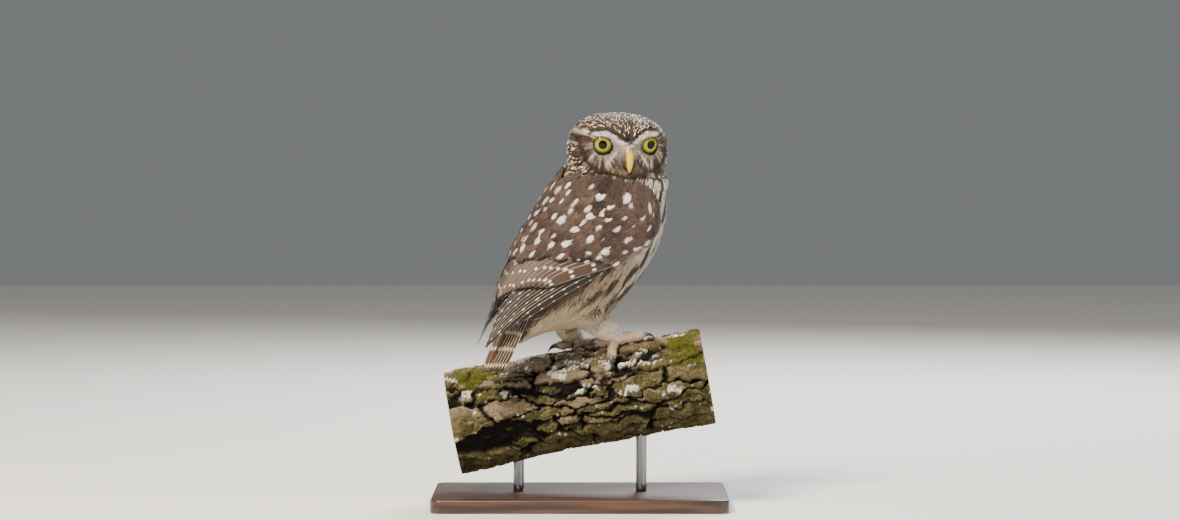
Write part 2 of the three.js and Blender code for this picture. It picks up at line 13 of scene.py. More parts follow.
import bpy
import numpy as np
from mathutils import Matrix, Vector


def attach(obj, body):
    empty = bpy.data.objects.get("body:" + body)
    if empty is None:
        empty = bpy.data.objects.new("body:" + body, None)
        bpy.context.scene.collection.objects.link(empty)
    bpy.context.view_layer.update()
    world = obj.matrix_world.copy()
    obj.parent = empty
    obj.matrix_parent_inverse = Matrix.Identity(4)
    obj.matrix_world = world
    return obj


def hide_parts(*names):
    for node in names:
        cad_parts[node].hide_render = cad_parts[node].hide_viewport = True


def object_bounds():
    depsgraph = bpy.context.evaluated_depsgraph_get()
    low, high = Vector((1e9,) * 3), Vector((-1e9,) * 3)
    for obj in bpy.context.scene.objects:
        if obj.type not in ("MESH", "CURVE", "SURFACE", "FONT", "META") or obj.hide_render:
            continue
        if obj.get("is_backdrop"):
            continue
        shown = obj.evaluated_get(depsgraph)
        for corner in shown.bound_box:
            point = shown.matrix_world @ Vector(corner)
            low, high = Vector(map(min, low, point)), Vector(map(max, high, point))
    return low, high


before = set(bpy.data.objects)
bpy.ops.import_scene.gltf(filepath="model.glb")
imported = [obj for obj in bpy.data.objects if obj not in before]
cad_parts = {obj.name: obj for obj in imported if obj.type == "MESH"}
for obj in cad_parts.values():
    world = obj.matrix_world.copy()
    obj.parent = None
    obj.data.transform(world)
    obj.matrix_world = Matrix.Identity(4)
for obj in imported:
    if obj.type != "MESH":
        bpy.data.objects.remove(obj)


def plain_box():
    """Lowest and highest corner of everything that belongs to the model, as plain lists."""
    return [[float(value) for value in corner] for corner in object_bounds()]


cad_box = plain_box()
MM = 0.001  # every size below is in millimetres
SIDES = ((1, "right"), (-1, "left"))  # the sign of each side in the owl's own frames
print("nodes", len(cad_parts), "box", cad_box)

# %% [markdown]
# ## Camera, floor and light
# The photo looks along the ground at the owl's right side, from a few metres off with a long lens.
# The lens follows from that distance and from the 885 mm that the whole picture spans there.

# %% Camera
PICTURE_WIDTH = 885
CAMERA_DISTANCE = 3000
CAMERA_RISE = math.radians(2)
LOOK_AT = np.array([7.5, 0.0, 183.75])

camera_data = bpy.data.cameras.new("camera")
camera_data.sensor_width = 36
camera_data.lens = camera_data.sensor_width * CAMERA_DISTANCE / PICTURE_WIDTH
camera = bpy.data.objects.new("camera", camera_data)
bpy.context.collection.objects.link(camera)
stand_off = np.array([0, -math.cos(CAMERA_RISE), math.sin(CAMERA_RISE)]) * CAMERA_DISTANCE
camera.location = (LOOK_AT + stand_off) * MM
camera.rotation_euler = (math.pi / 2 - CAMERA_RISE, 0, 0)
bpy.context.scene.camera = camera
print("lens", round(camera_data.lens, 1), "mm")

# %% [markdown]
# A museum plinth is plain, so the floor is one pale sheet. Soft light is large light: a wide key
# from the upper left, a weaker fill from the right, and a lamp behind that lifts the feather edges.

# %% Floor and lights
def rgb(code):
    """An sRGB hex colour as linear red, green and blue."""
    srgb = np.array([int(code[i : i + 2], 16) for i in (1, 3, 5)]) / 255
    return np.where(srgb <= 0.04045, srgb / 12.92, ((srgb + 0.055) / 1.055) ** 2.4)


def area_light(name, place, size, power, colour):
    """A square lamp at a place in mm that points at the middle of the owl."""
    data = bpy.data.lights.new(name, "AREA")
    data.size = size * MM
    data.energy = power
    data.color = rgb(colour)
    lamp = bpy.data.objects.new(name, data)
    bpy.context.collection.objects.link(lamp)
    way = LOOK_AT - np.array(place)
    level = math.hypot(way[0], way[1])
    lamp.location = np.array(place) * MM
    lamp.rotation_euler = (math.pi / 2 + math.atan2(way[2], level), 0, math.atan2(-way[0], way[1]))


area_light("key", (-800, -1300, 1700), 700, 118, "#fff2e2")
area_light("fill", (1700, -1200, 600), 1400, 17, "#eaf1ff")
area_light("rim", (500, 1500, 1400), 900, 55, "#ffffff")

world = bpy.data.worlds.new("studio")
bpy.context.scene.world = world
world.use_nodes = True
world.node_tree.nodes["Background"].inputs["Color"].default_value = (*rgb("#dfe3e6"), 1)
world.node_tree.nodes["Background"].inputs["Strength"].default_value = 0.25


# %% [markdown]
# ## Helpers for materials
# Every finish here is a small tree of shader nodes. One function adds any node: its settings, its
# inputs, each of them a value, a hex colour or another node's output, and the output that is used.

# %% Material helpers
SMOOTH = {"interpolation_type": "SMOOTHSTEP"}
COLOURS = {"data_type": "RGBA"}


def add_node(tree, kind, inputs, output=0, **settings):
    """Add one shader node and give one of its outputs, or all of them if output is None.

    An input that is a socket is linked, a text is a hex colour, and any other is a value.
    """
    made = tree.nodes.new("ShaderNode" + kind)
    for name, value in settings.items():
        setattr(made, name, value)
    for key, value in inputs.items():
        if isinstance(value, bpy.types.NodeSocket):
            tree.links.new(value, made.inputs[key])
        else:
            made.inputs[key].default_value = (*rgb(value), 1) if isinstance(value, str) else value
    return made.outputs if output is None else made.outputs[output]


def new_material(name, base="#808080", roughness=0.6, **constants):
    """A material with its Principled shader. Constants go on that shader's own sockets."""
    material = bpy.data.materials.new(name)
    material.use_nodes = True
    shader = material.node_tree.nodes["Principled BSDF"]
    shader.inputs["Base Color"].default_value = (*rgb(base), 1)
    shader.inputs["Roughness"].default_value = roughness
    for socket, value in constants.items():
        shader.inputs[socket.replace("_", " ")].default_value = value
    return material, material.node_tree, shader


def dress(tree, shader, colour, height=None, step=0.0, strength=0.6):
    """Give the shader its colour, and a relief from a height whose full step is in mm."""
    tree.links.new(colour, shader.inputs["Base Color"])
    if height is not None:
        relief = {"Height": height, "Distance": step * MM, "Strength": strength}
        tree.links.new(add_node(tree, "Bump", relief), shader.inputs["Normal"])


floor_material, _, _ = new_material("matt_painted_plinth", "#e9e7e2", 0.85)
bpy.ops.mesh.primitive_plane_add(size=8)
floor = bpy.context.object
floor.name = "floor"
floor.data.materials.append(floor_material)
floor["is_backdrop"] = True


# %% [markdown]
# ## The owl's own sizes
# These are the same named sizes that the solids were made from. The body's frame starts at the
# neck and runs aft down the spine, out of the back, and to the owl's right. The head has its own
# frame, because the owl looks back over its shoulder: side, front out of the face, and up.

# %% Frames
def unit(v):
    """Vectors scaled to length one."""
    v = np.asarray(v, float)
    return v / np.maximum(np.linalg.norm(v, axis=-1, keepdims=True), 1e-12)


NECK = np.array([30, 12.2, 250])
YAW, LEAN = np.radians([36, 35.5])
FORWARD = np.array([np.cos(YAW), np.sin(YAW), 0])
SIDE = np.array([np.sin(YAW), -np.cos(YAW), 0])
AFT = -np.sin(LEAN) * FORWARD + [0, 0, -np.cos(LEAN)]
BACK = -np.cos(LEAN) * FORWARD + [0, 0, np.sin(LEAN)]
BODY_AXES = np.array([AFT, BACK, SIDE])

HEAD = np.array([27.7, 6, 266])
FACE_YAW, FACE_PITCH = np.radians([14.5, 10])
FACE_LEVEL = np.array([np.sin(FACE_YAW), -np.cos(FACE_YAW), 0]) * np.cos(FACE_PITCH)
HEAD_FRONT = FACE_LEVEL + [0, 0, -np.sin(FACE_PITCH)]
HEAD_SIDE = np.array([-np.cos(FACE_YAW), -np.sin(FACE_YAW), 0])
HEAD_UP = np.cross(HEAD_SIDE, HEAD_FRONT)
HEAD_AXES = np.array([HEAD_SIDE, HEAD_FRONT, HEAD_UP])


def from_body(aft, back, side):
    """Places in the world from places in the body's frame."""
    return NECK + np.stack(np.broadcast_arrays(aft, back, side), -1) @ BODY_AXES


def to_body(places):
    """Distance aft, height over the spine and distance to the right of places in the world."""
    return np.moveaxis((places - NECK) @ BODY_AXES.T, -1, 0)


def from_head(side, front, up):
    """Places in the world from places in the head's frame."""
    return HEAD + np.stack(np.broadcast_arrays(side, front, up), -1) @ HEAD_AXES


def to_head(places):
    """Side, front and up of places in the world, from the middle of the head."""
    return np.moveaxis((places - HEAD) @ HEAD_AXES.T, -1, 0)


# %% [markdown]
# The shapes are tables of stations along a line, with a smooth curve from row to row, as a boat's
# hull is drawn from its frames. Sculpting by hand could give the same outline, but only a table
# keeps the dressed owl and its solids on one set of numbers.

# %% Tables of sizes
# Torso: distance aft, height of the back, height of the belly, half width.
TORSO = np.array([
    [-12, 24, -26, 24],
    [4, 36, -44, 36],
    [24, 38, -53.5, 39.5],
    [52, 35, -55.5, 39.5],
    [80, 34, -52.5, 37],
    [102, 30.5, -45, 31.5],
    [120, 27.5, -31, 24],
    [135, 23, -14, 15],
    [147, 13, -4, 9],
    [156, 8, 2, 4],
])
RUFF_CENTRE, RUFF_RADII = np.array([[26, 8, 243], [40, 35, 21]])
HEAD_RADII = {"side": 37.5, "front": 32.5, "up": 27.5, "plan": 2.15, "upright": 2.6}
# Swellings and hollows of the head: direction, angular spread, height.
HEAD_FORMS = np.array([
    [17.5, 27, 9, 0.26, -3.4],
    [11, 29, 17, 0.2, 1.6],
    [23, 22, 17, 0.26, 2.2],
    [0, 32, 6, 0.16, 1.2],
    [0, 31, -7, 0.26, 3.0],
    [26, 20, -6, 0.34, 1.8],
    [14, 26, -14, 0.24, 1.4],
])
EYE = {"side": 16.2, "front": 19.2, "up": 9.2, "radius": 9.6, "outward": 10, "rim": 7.4}
BILL_UPPER = np.array([
    [27, 7.8, 4.0, 3.4],
    [33, 6.6, 4.0, 3.4],
    [36.2, 2.8, 3.6, 3.2],
    [38.0, -2.5, 2.8, 2.6],
    [37.8, -7.5, 1.7, 1.7],
    [36.2, -10.8, 0.5, 0.5],
])
BILL_LOWER = np.array([
    [27, -1.6, 3.2, 1.8],
    [31, -3.6, 2.9, 1.7],
    [33.6, -6.2, 2, 1.2],
    [34.4, -8.4, 0.7, 0.5],
])
# Folded wing: distance aft, height of the back, lowest line, half width, upper and lower angle.
WING = np.array([
    [8, 37, -46, 39, 22, 96],
    [32, 41, -54, 45, 4, 119],
    [58, 42, -54, 47, 1.8, 107],
    [85, 43, -50, 45, 1.8, 94],
    [112, 41, -36, 38, 2, 82],
    [138, 38, -20, 27, 3, 72],
    [160, 34, -6, 18, 6, 60],
    [178, 31, 4, 11, 14, 44],
])
# Tail: distance aft, height of its top along the middle, half width.
TAIL = np.array([[122, 22, 10], [140, 20.5, 12.5], [164, 18.5, 15.5], [191, 15.5, 17.5]])
TAIL_ARCH = 3.2
# Leg: centre and radius from the thigh down to the ankle.
LEGS = {
    "right": np.array([
        [0, -23, 156, 16],
        [6, -20, 145, 12],
        [13.5, -17, 136.5, 8.6],
        [20.8, -15.3, 131.2, 7.2],
    ]),
    "left": np.array([[-14, 8, 152, 14], [-12, 10, 140, 10], [-9.5, 12, 131, 7.8], [-6.4, 13, 126.6, 7]]),
}


def table(rows, t):
    """Smooth values at t of a table whose rows start with t.

    Between two rows runs a cubic, whose slope at each row is that of the chord between the rows on
    either side of it.
    """
    t = np.asarray(t, float)
    last = len(rows) - 1
    i = np.clip(np.searchsorted(rows[:, 0], t) - 1, 0, last - 1)
    number = np.arange(last + 1)
    step = rows[np.minimum(number + 1, last)] - rows[np.maximum(number - 1, 0)]
    slope = step / step[:, :1]
    p, q = rows[i], rows[i + 1]
    h = q[..., :1] - p[..., :1]
    f = np.clip((t[..., None] - p[..., :1]) / h, 0, 1)
    start = (2 * f**3 - 3 * f**2 + 1) * p + (f**3 - 2 * f**2 + f) * h * slope[i]
    end = (3 * f**2 - 2 * f**3) * q + (f**3 - f**2) * h * slope[i + 1]
    return np.moveaxis(start + end, -1, 0)


def smooth(t, low, high):
    """0 below low, 1 above high, and an even S between them."""
    f = np.clip((t - low) / (high - low), 0, 1)
    return f * f * (3 - 2 * f)


# %% [markdown]
# ## One surface for the whole body
# A bird's outline is the outline of its feathers, and these flow from head to neck to belly with
# no seam. So the torso, the ruff of the neck, the head and the thighs are each written as a
# distance to a surface, and the distances are blended into one. A place is settled on that surface
# by walking down the slope of the distance, which works the same for skin and for every feather.

# %% The body as a distance
def torso_distance(places):
    """Distance to the torso: that to an oval across the spine, or to the flat ends beyond it."""
    aft, back, side = to_body(places)
    _, top, low, half = table(TORSO, aft)
    rise, deep = back - (top + low) / 2, (top - low) / 2
    share = np.hypot(rise / deep, side / half)
    steepness = np.hypot(rise / deep**2, side / half**2) + 1e-9
    return np.maximum(share * (share - 1) / steepness, np.maximum(TORSO[0, 0] - aft, aft - TORSO[-1, 0]))


def ruff_distance(places):
    """Distance to the oval ball of feathers under the head."""
    out = places - RUFF_CENTRE
    share = np.linalg.norm(out / RUFF_RADII, axis=-1)
    return share * (share - 1) / (np.linalg.norm(out / RUFF_RADII**2, axis=-1) + 1e-9)


def head_radius(direction):
    """Distance from the head's middle to its surface: a squared oval plus rounded forms."""
    side, front, up = np.moveaxis(direction, -1, 0)
    size = HEAD_RADII
    level = np.abs(side / size["side"]) ** size["plan"] + np.abs(front / size["front"]) ** size["plan"]
    scaled = level ** (size["upright"] / size["plan"]) + np.abs(up / size["up"]) ** size["upright"]
    folded = np.stack([np.abs(side), front, up], -1)
    turn = np.arccos(np.clip(folded @ unit(HEAD_FORMS[:, :3]).T, -1, 1))
    forms = HEAD_FORMS[:, 4] * np.exp(-((turn / HEAD_FORMS[:, 3]) ** 2))
    return scaled ** (-1 / size["upright"]) + forms.sum(-1)


def head_distance(places):
    """Distance to the head along the ray from its middle."""
    out = (places - HEAD) @ HEAD_AXES.T
    far = np.linalg.norm(out, axis=-1)
    return far - head_radius(out / (far[..., None] + 1e-9))


def leg_distance(places, rows):
    """Distance to a chain of cones with round ends."""
    nearest = np.full(places.shape[:-1], 1e3)
    for start, end in zip(rows[:-1], rows[1:]):
        way = end[:3] - start[:3]
        f = np.clip((places - start[:3]) @ way / (way @ way), 0, 1)
        reach = np.linalg.norm(places - start[:3] - f[..., None] * way, axis=-1)
        nearest = np.minimum(nearest, reach - start[3] - f * (end[3] - start[3]))
    return nearest


def blend(a, b, width):
    """The nearer of two distances, rounded where they are within width of each other."""
    f = np.maximum(width - np.abs(a - b), 0) / width
    return np.minimum(a, b) - f * f * width / 4


def flesh(places):
    """Distance to the outer surface of the coat of the head, neck, torso and thighs."""
    made = blend(torso_distance(places), ruff_distance(places), 6)
    made = blend(made, head_distance(places), 3)
    for rows in LEGS.values():
        made = blend(made, leg_distance(places, rows), 8)
    return made


def slope_of(places, distance=flesh):
    """Change of a distance with each world axis, by central differences of 0.2 mm."""
    nudge = 0.1 * np.eye(3)
    change = [distance(places + d) - distance(places - d) for d in nudge]
    return np.stack(change, -1) / 0.2


def settle(places, height=0.0, rounds=3, distance=flesh):
    """Move places onto the surface at a height over it, and give the way out of it there."""
    for _ in range(rounds):
        slope = slope_of(places, distance)
        error = distance(places) - height
        places = places - (error / (np.sum(slope**2, -1) + 1e-6))[..., None] * slope
    return places, unit(slope_of(places, distance))


# %% [markdown]
# The folded wings lie over the body, each on a surface of its own: an oval across the spine that
# starts near the middle of the back and ends at the wing's lower edge.

# %% Wing, tail and branch surfaces
def wing_point(hand, aft, across, height=0.0):
    """Places on a folded wing from the distance aft and the share from upper to lower edge."""
    _, back, belly, half, upper, lower = table(WING, aft)
    angle = np.radians(upper + (lower - upper) * across)
    middle, deep = (back + belly) / 2, (back - belly) / 2 + height
    return from_body(aft, middle + deep * np.cos(angle), hand * (half + height) * np.sin(angle))


def wing_breadth(aft):
    """Length of the wing's surface from its upper edge to its lower edge."""
    aft = np.asarray(aft, float)
    line = wing_point(1, aft[..., None], np.linspace(0, 1, 9))
    return np.linalg.norm(np.diff(line, axis=-2), axis=-1).sum(-1)


def tail_point(aft, side, depth=0.0):
    """Places on the tail, whose sides droop with the square of their distance from the middle."""
    _, top, half = table(TAIL, aft)
    return from_body(aft, top - TAIL_ARCH * (side / half) ** 2 - depth, side)


# %% [markdown]
# ## Meshes from arrays
# Each piece is one mesh, made in one go from an array of points and an array of four-sided faces.
# Adding shapes with Blender's own tools and bending them would need many steps for each feather.

# %% Mesh helpers
def make_piece(name, points, quads, material, uv=None, bake=None, **attributes):
    """A smooth mesh object from points in mm and quads, with what its shader reads."""
    mesh = bpy.data.meshes.new(name)
    mesh.vertices.add(len(points))
    mesh.vertices.foreach_set("co", np.ascontiguousarray(points * MM, dtype=np.float32).ravel())
    mesh.loops.add(quads.size)
    mesh.loops.foreach_set("vertex_index", quads.ravel().astype(np.int32))
    mesh.polygons.add(len(quads))
    mesh.polygons.foreach_set("loop_start", np.arange(0, quads.size, 4, dtype=np.int32))
    mesh.update(calc_edges=True)
    mesh.shade_smooth()
    for layer, values in (("vane", uv), ("OFBake", bake)):
        if values is not None:
            loops = np.ascontiguousarray(values[quads.ravel()], dtype=np.float32)
            mesh.uv_layers.new(name=layer).data.foreach_set("uv", loops.ravel())
    for key, values in attributes.items():
        colours = np.ones((len(points), 4), dtype=np.float32)
        colours[:, : values.shape[1]] = values
        mesh.attributes.new(key, "FLOAT_COLOR", "POINT").data.foreach_set("color", colours.ravel())
    mesh.materials.append(material)
    made = bpy.data.objects.new(name, mesh)
    bpy.context.collection.objects.link(made)
    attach(made, "root")
    return made


def strip_quads(rows, columns, wrap=False):
    """Faces of a grid of rows and columns, joined round from the last column if it wraps."""
    r, c = np.meshgrid(np.arange(rows - 1), np.arange(columns - (not wrap)), indexing="ij")
    here, there = r * columns + c, r * columns + (c + 1) % columns
    return np.stack([here, here + columns, there + columns, there], -1).reshape(-1, 4)


# %% [markdown]
# ## Skin
# Under the feathers lies one skin from the crown to the ankles. It is the same blended distance,
# some millimetres in, so it follows the coat wherever that goes. A loft would need seams where the
# neck meets the head, so the skin starts as a box of small cells: cells inside the surface are
# kept, and their outer faces are settled onto it.

# %% Skin
def boxed_surface(low, high, cell, inside):
    """Outer faces of all the cells of a block whose middles are inside, as points and quads."""
    axes = [np.arange(a, b, cell) for a, b in zip(low, high)]
    middles = np.stack(np.meshgrid(*axes, indexing="ij"), -1) + cell / 2
    full = np.pad(inside(middles.reshape(-1, 3)).reshape(middles.shape[:3]), 1)
    corners = np.array([[0, 0], [1, 0], [1, 1], [0, 1]])
    points = []
    for axis in range(3):
        for way in (1, -1):
            open_side = full & ~np.roll(full, -way, axis)
            where = np.argwhere(open_side) - 1
            offset = np.zeros((4, 3), int)
            offset[:, (axis + 1) % 3], offset[:, (axis + 2) % 3] = corners[::way].T
            offset[:, axis] = way > 0
            points.append((where[:, None] + offset).reshape(-1, 3))
    lattice = np.concatenate(points)
    unique, quads = np.unique(lattice, axis=0, return_inverse=True)
    return unique * cell + np.array(low), quads.reshape(-1, 4)


def relaxed(points, quads, rounds):
    """Points drawn towards the mean of their neighbours, which evens out the cells of a mesh."""
    ends = np.concatenate([quads, np.roll(quads, 1, 1)], 1).reshape(-1)
    others = np.concatenate([np.roll(quads, 1, 1), quads], 1).reshape(-1)
    count = np.bincount(ends, minlength=len(points))[:, None]
    for _ in range(rounds):
        sums = np.stack([np.bincount(ends, points[others, k], len(points)) for k in range(3)], -1)
        points = 0.4 * points + 0.6 * sums / count
    return points


COAT_DEPTH = 3.0
SKIN_CELL = 2.2
low, high = np.array([-60, -55, 118]), np.array([80, 75, 302])
skin_points, skin_quads = boxed_surface(low, high, SKIN_CELL, lambda p: flesh(p) < -COAT_DEPTH)
skin_points = relaxed(skin_points, skin_quads, 4)
skin_points, _ = settle(skin_points, -COAT_DEPTH, 4)
print("skin", len(skin_points), "points")

# %% [markdown]
# ## Plumage colours
# A little owl is dark brown above with white drops, and cream below with brown streaks. Feathers
# and skin take their colour from the same function of the place on the body, so that no pale skin
# shows between dark feathers. Slow waves stand for the uneven wear of real feathers.

# %% Colours by place
def waves(places, length, seed):
    """A slow random field from -1 to 1: four sine waves whose ways and lengths are drawn once."""
    draw = np.random.default_rng(seed)
    ways = unit(draw.normal(size=(4, 3))) * 2 * np.pi / (length * draw.uniform(0.7, 1.4, (4, 1)))
    return np.sin(places @ ways.T + draw.uniform(0, 6.3, 4)).mean(-1) * 1.4


def mixed(a, b, share):
    """Colours between a and b, where share is one number for each place."""
    return a + (b - a) * np.clip(share, 0, 1)[..., None]


MANTLE, MANTLE_DARK, MANTLE_WARM = rgb("#5c483b"), rgb("#35271e"), rgb("#7c6353")
BELLY, BREAST, FLANK = rgb("#cbb898"), rgb("#ece3d6"), rgb("#b19b7e")
STREAK, STREAK_SOFT = rgb("#1c130d"), rgb("#382617")
WHITE, BUFF = rgb("#fffaf2"), rgb("#d9c0a6")


def streaks(aft, around, across_length=5.4, along_length=26.0, seed=7):
    """Long dashes that run aft, from -1 to 1: waves over a sheet drawn out along the body."""
    sheet = np.stack([aft * across_length / along_length, around, 0 * aft], -1)
    return waves(sheet, across_length, seed) + 0.4 * waves(sheet, across_length * 2.3, seed + 1)


def belly_colour(aft, around, under):
    """Colour under the body: white breast, buff flank, cream belly, with streaks drawn out aft.

    around is the distance round the body and under the angle from the back, in degrees.
    """
    base = mixed(BREAST, BELLY, smooth(aft, 45, 95))
    base = mixed(base, FLANK, 0.85 * smooth(under, 132, 96) * smooth(aft, 20, 60) * smooth(aft, 118, 96))
    base = mixed(base, rgb("#cfbb99"), smooth(aft, 104, 122))
    dark = mixed(STREAK, STREAK_SOFT, smooth(under, 150, 110) * smooth(aft, 10, 50))
    dash = streaks(aft, around) + 0.12 * smooth(under, 140, 110)
    return mixed(base, dark, 0.94 * smooth(dash, 0.05, 0.35) * smooth(aft, 126, 102))


def ground_colour(places):
    """The colour of the coat at a place on the neck or the body."""
    aft, back, side = to_body(places)
    _, top, low, half = table(TORSO, aft)
    angle = np.arctan2(side / half, (back - (top + low) / 2) / (top - low) * 2)
    under = np.degrees(np.abs(angle))
    belly = belly_colour(aft, angle * 40, under)
    mantle = mixed(MANTLE, MANTLE_DARK, 0.5 + 0.5 * waves(places, 46, 5))
    collar = smooth(streaks(aft, angle * 40, 3.4, 9, 17), 0.0, 0.3) * smooth(places[..., 2], 233, 240)
    mantle = mixed(mantle, rgb("#e4cdb0"), 0.9 * collar)
    return mixed(mantle, belly, smooth(under, 78, 94))


# %% [markdown]
# ## How a feather is made
# A contour feather is a thin curved vane: narrow at its root, widest past the middle, rounded at
# its tip. One grid of rows and columns, with a second grid a hair below it, gives a closed vane of
# a few dozen faces. Then all feathers of a kind are worked out at once: every vane gets a spine
# that walks over the body's surface from its root, rising from the down to the outline of the coat.

# %% Feather vanes
def vane_grid(rows, columns):
    """Places of a vane's points from root to tip and from edge to edge, and its closed faces.

    The upper and lower grids share their border. The third result is 1 for lower points.
    """
    along, across = np.meshgrid(np.linspace(0, 1, rows), np.linspace(-1, 1, columns), indexing="ij")
    number = np.arange(rows * columns).reshape(rows, columns)
    lower = number.copy()
    lower[1:-1, 1:-1] = rows * columns + np.arange((rows - 2) * (columns - 2)).reshape(rows - 2, -1)
    quads = strip_quads(rows, columns)
    inner = (slice(1, -1), slice(1, -1))
    along = np.concatenate([along.ravel(), along[inner].ravel()])
    across = np.concatenate([across.ravel(), across[inner].ravel()])
    under = np.arange(len(along)) >= rows * columns
    row_of = np.round(along * (rows - 1)).astype(int)
    return along, across, under, row_of, np.concatenate([quads, lower.ravel()[quads[:, ::-1]]])


def profile(values, rows):
    """A smooth list of values spread over rows from root to tip."""
    values = np.asarray(values, float)
    places = np.linspace(0, 1, len(values))
    return table(np.stack([places, values], -1), np.linspace(0, 1, rows))[1]


def make_feathers(name, material, spines, outs, half, widths, columns, look, draw, ragged=0.0,
                  camber=0.1, thick=0.16, twist=0.0):
    """One piece of many vanes.

    spines and outs hold a row of places and of outward ways for each feather. A point lies on its
    spine, plus its share of the half width along the way across, minus a camber that grows with
    the square of that share. look holds the root's place on the unwrapped skin and the colours.
    """
    count, rows = spines.shape[:2]
    along, across, under, row_of, quads = vane_grid(rows, columns)
    way = unit(np.gradient(spines, axis=1))
    sideways = np.cross(outs, way)
    if np.any(twist):
        sideways = unit(sideways + np.reshape(twist, (-1, 1, 1)) * outs)
        outs = unit(np.cross(way, sideways))
    width = (np.asarray(half)[:, None] * profile(widths, rows))[:, row_of] * across
    fray = draw.uniform(-1, 1, (count, len(along))) * ragged * np.asarray(half)[:, None]
    fray = np.where(under, 0, fray) * (smooth(along, 0.55, 1.0) + 0.25 * (np.abs(across) > 0.99))
    drop = camber * np.abs(width) * np.abs(across) + thick * under * (1 - across**2)
    points = (
        spines[:, row_of]
        + sideways[:, row_of] * width[..., None]
        + way[:, row_of] * fray[..., None]
        - outs[:, row_of] * drop[..., None]
    )
    size = len(along)
    faces = (quads[None] + size * np.arange(count)[:, None, None]).reshape(-1, 4)
    vane = np.broadcast_to(np.stack([across, along], -1), (count, size, 2)).reshape(-1, 2)
    place = np.repeat(look["bake"], size, 0) + 0.003 * (vane * [0.5, 1] - [0, 0.5])
    colours = {k: np.repeat(v, size, 0) for k, v in look.items() if k != "bake"}
    made = make_piece(name, points.reshape(-1, 3), faces, material, vane, place, **colours)
    print(name, count, "feathers,", 2 * len(faces), "triangles")
    return made


def make_lots(name, lots, order, material, spines, outs, half, widths, columns, look, draw, **more):
    """The same vanes as several pieces, so that none of them grows too large."""
    for number, part in enumerate(np.array_split(order, lots)):
        some = {key: values[part] for key, values in look.items()}
        make_feathers(
            f"{name}_{number + 1}", material, spines[part], outs[part], half[part], widths, columns,
            some, draw, **more,
        )


def walk(roots, ways, length, rows, heights, distance=flesh):
    """Spines that run over the body from their roots, and the outward ways along them.

    Each of the rows is a straight step from the root, settled onto the surface, then lifted to its
    height of the profile.
    """
    steps = np.linspace(0, 1, rows)[:, None] * np.reshape(length, (-1, 1, 1))
    spines = roots[:, None] + ways[:, None] * steps
    spines, outs = settle(spines, 0, 2, distance)
    lift = profile(heights, rows)
    return spines + outs * lift[:, None], outs


# %% [markdown]
# ## How a feather is coloured
# Each feather carries its own colour, its mark and the softness of the mark on its points, so one
# material serves thousands of feathers. A painted image would do too, but it would blur close up.
# A second map gives each feather a patch at its root's place on the unrolled skin.

# %% Feather looks
ATLAS = {  # corner and size of each part of the unwrapped skin
    "torso": (0.02, 0.02, 0.46, 0.46),
    "head": (0.02, 0.52, 0.46, 0.46),
    "wing_right": (0.52, 0.02, 0.3, 0.4),
    "wing_left": (0.52, 0.45, 0.3, 0.4),
    "tail": (0.52, 0.88, 0.3, 0.1),
    "leg_right": (0.85, 0.02, 0.12, 0.4),
    "leg_left": (0.85, 0.45, 0.12, 0.4),
}


def atlas(part, a, b):
    """A place on the unwrapped skin from two shares from 0 to 1 of one part."""
    x, y, wide, high = ATLAS[part]
    return np.stack([x + wide * np.clip(a, 0, 1), y + high * np.clip(b, 0, 1)], -1)


def unwrap_body(places):
    """Torso and neck unrolled round the spine, and head unrolled round its upright axis."""
    aft, back, side = to_body(places)
    torso = atlas("torso", np.arctan2(side, back + 8) / (2 * np.pi) + 0.5, (aft + 20) / 180)
    x, y, z = to_head(places)
    far = np.sqrt(x**2 + y**2 + z**2) + 1e-9
    head = atlas("head", np.arctan2(x, y) / (2 * np.pi) + 0.5, np.arccos(z / far) / np.pi)
    return np.where(((far < 46) & (z > -24))[..., None], head, torso)


def feather_look(bake, ground, mark, spot, draw, uneven=0.1, soft=0.25, repeat=1, mirrored=0.0, fringe=0.2):
    """What the shader of a feather reads.

    ground and mark are colours; their fourth values are a random share and the softness of the
    mark's border. spot is the mark's place across and along the vane and its two radii. It comes
    back several times along the vane, on both webs alike if mirrored, and fringe is how pale the
    edge is.
    """
    count = len(bake)
    shade = 1 + uneven * draw.uniform(-1, 1, (count, 1))
    ground = np.broadcast_to(ground, (count, 3)) * shade
    mark = np.broadcast_to(mark, (count, 3))
    parts = [np.broadcast_to(value, count) for value in (repeat, mirrored, fringe)]
    return {
        "bake": bake,
        "ground": np.concatenate([ground, draw.uniform(0, 1, (count, 1))], 1),
        "mark": np.concatenate([mark, np.broadcast_to(soft, count)[:, None]], 1),
        "spot": np.broadcast_to(spot, (count, 4)),
        "marks": np.stack(parts, -1).astype(float),
    }


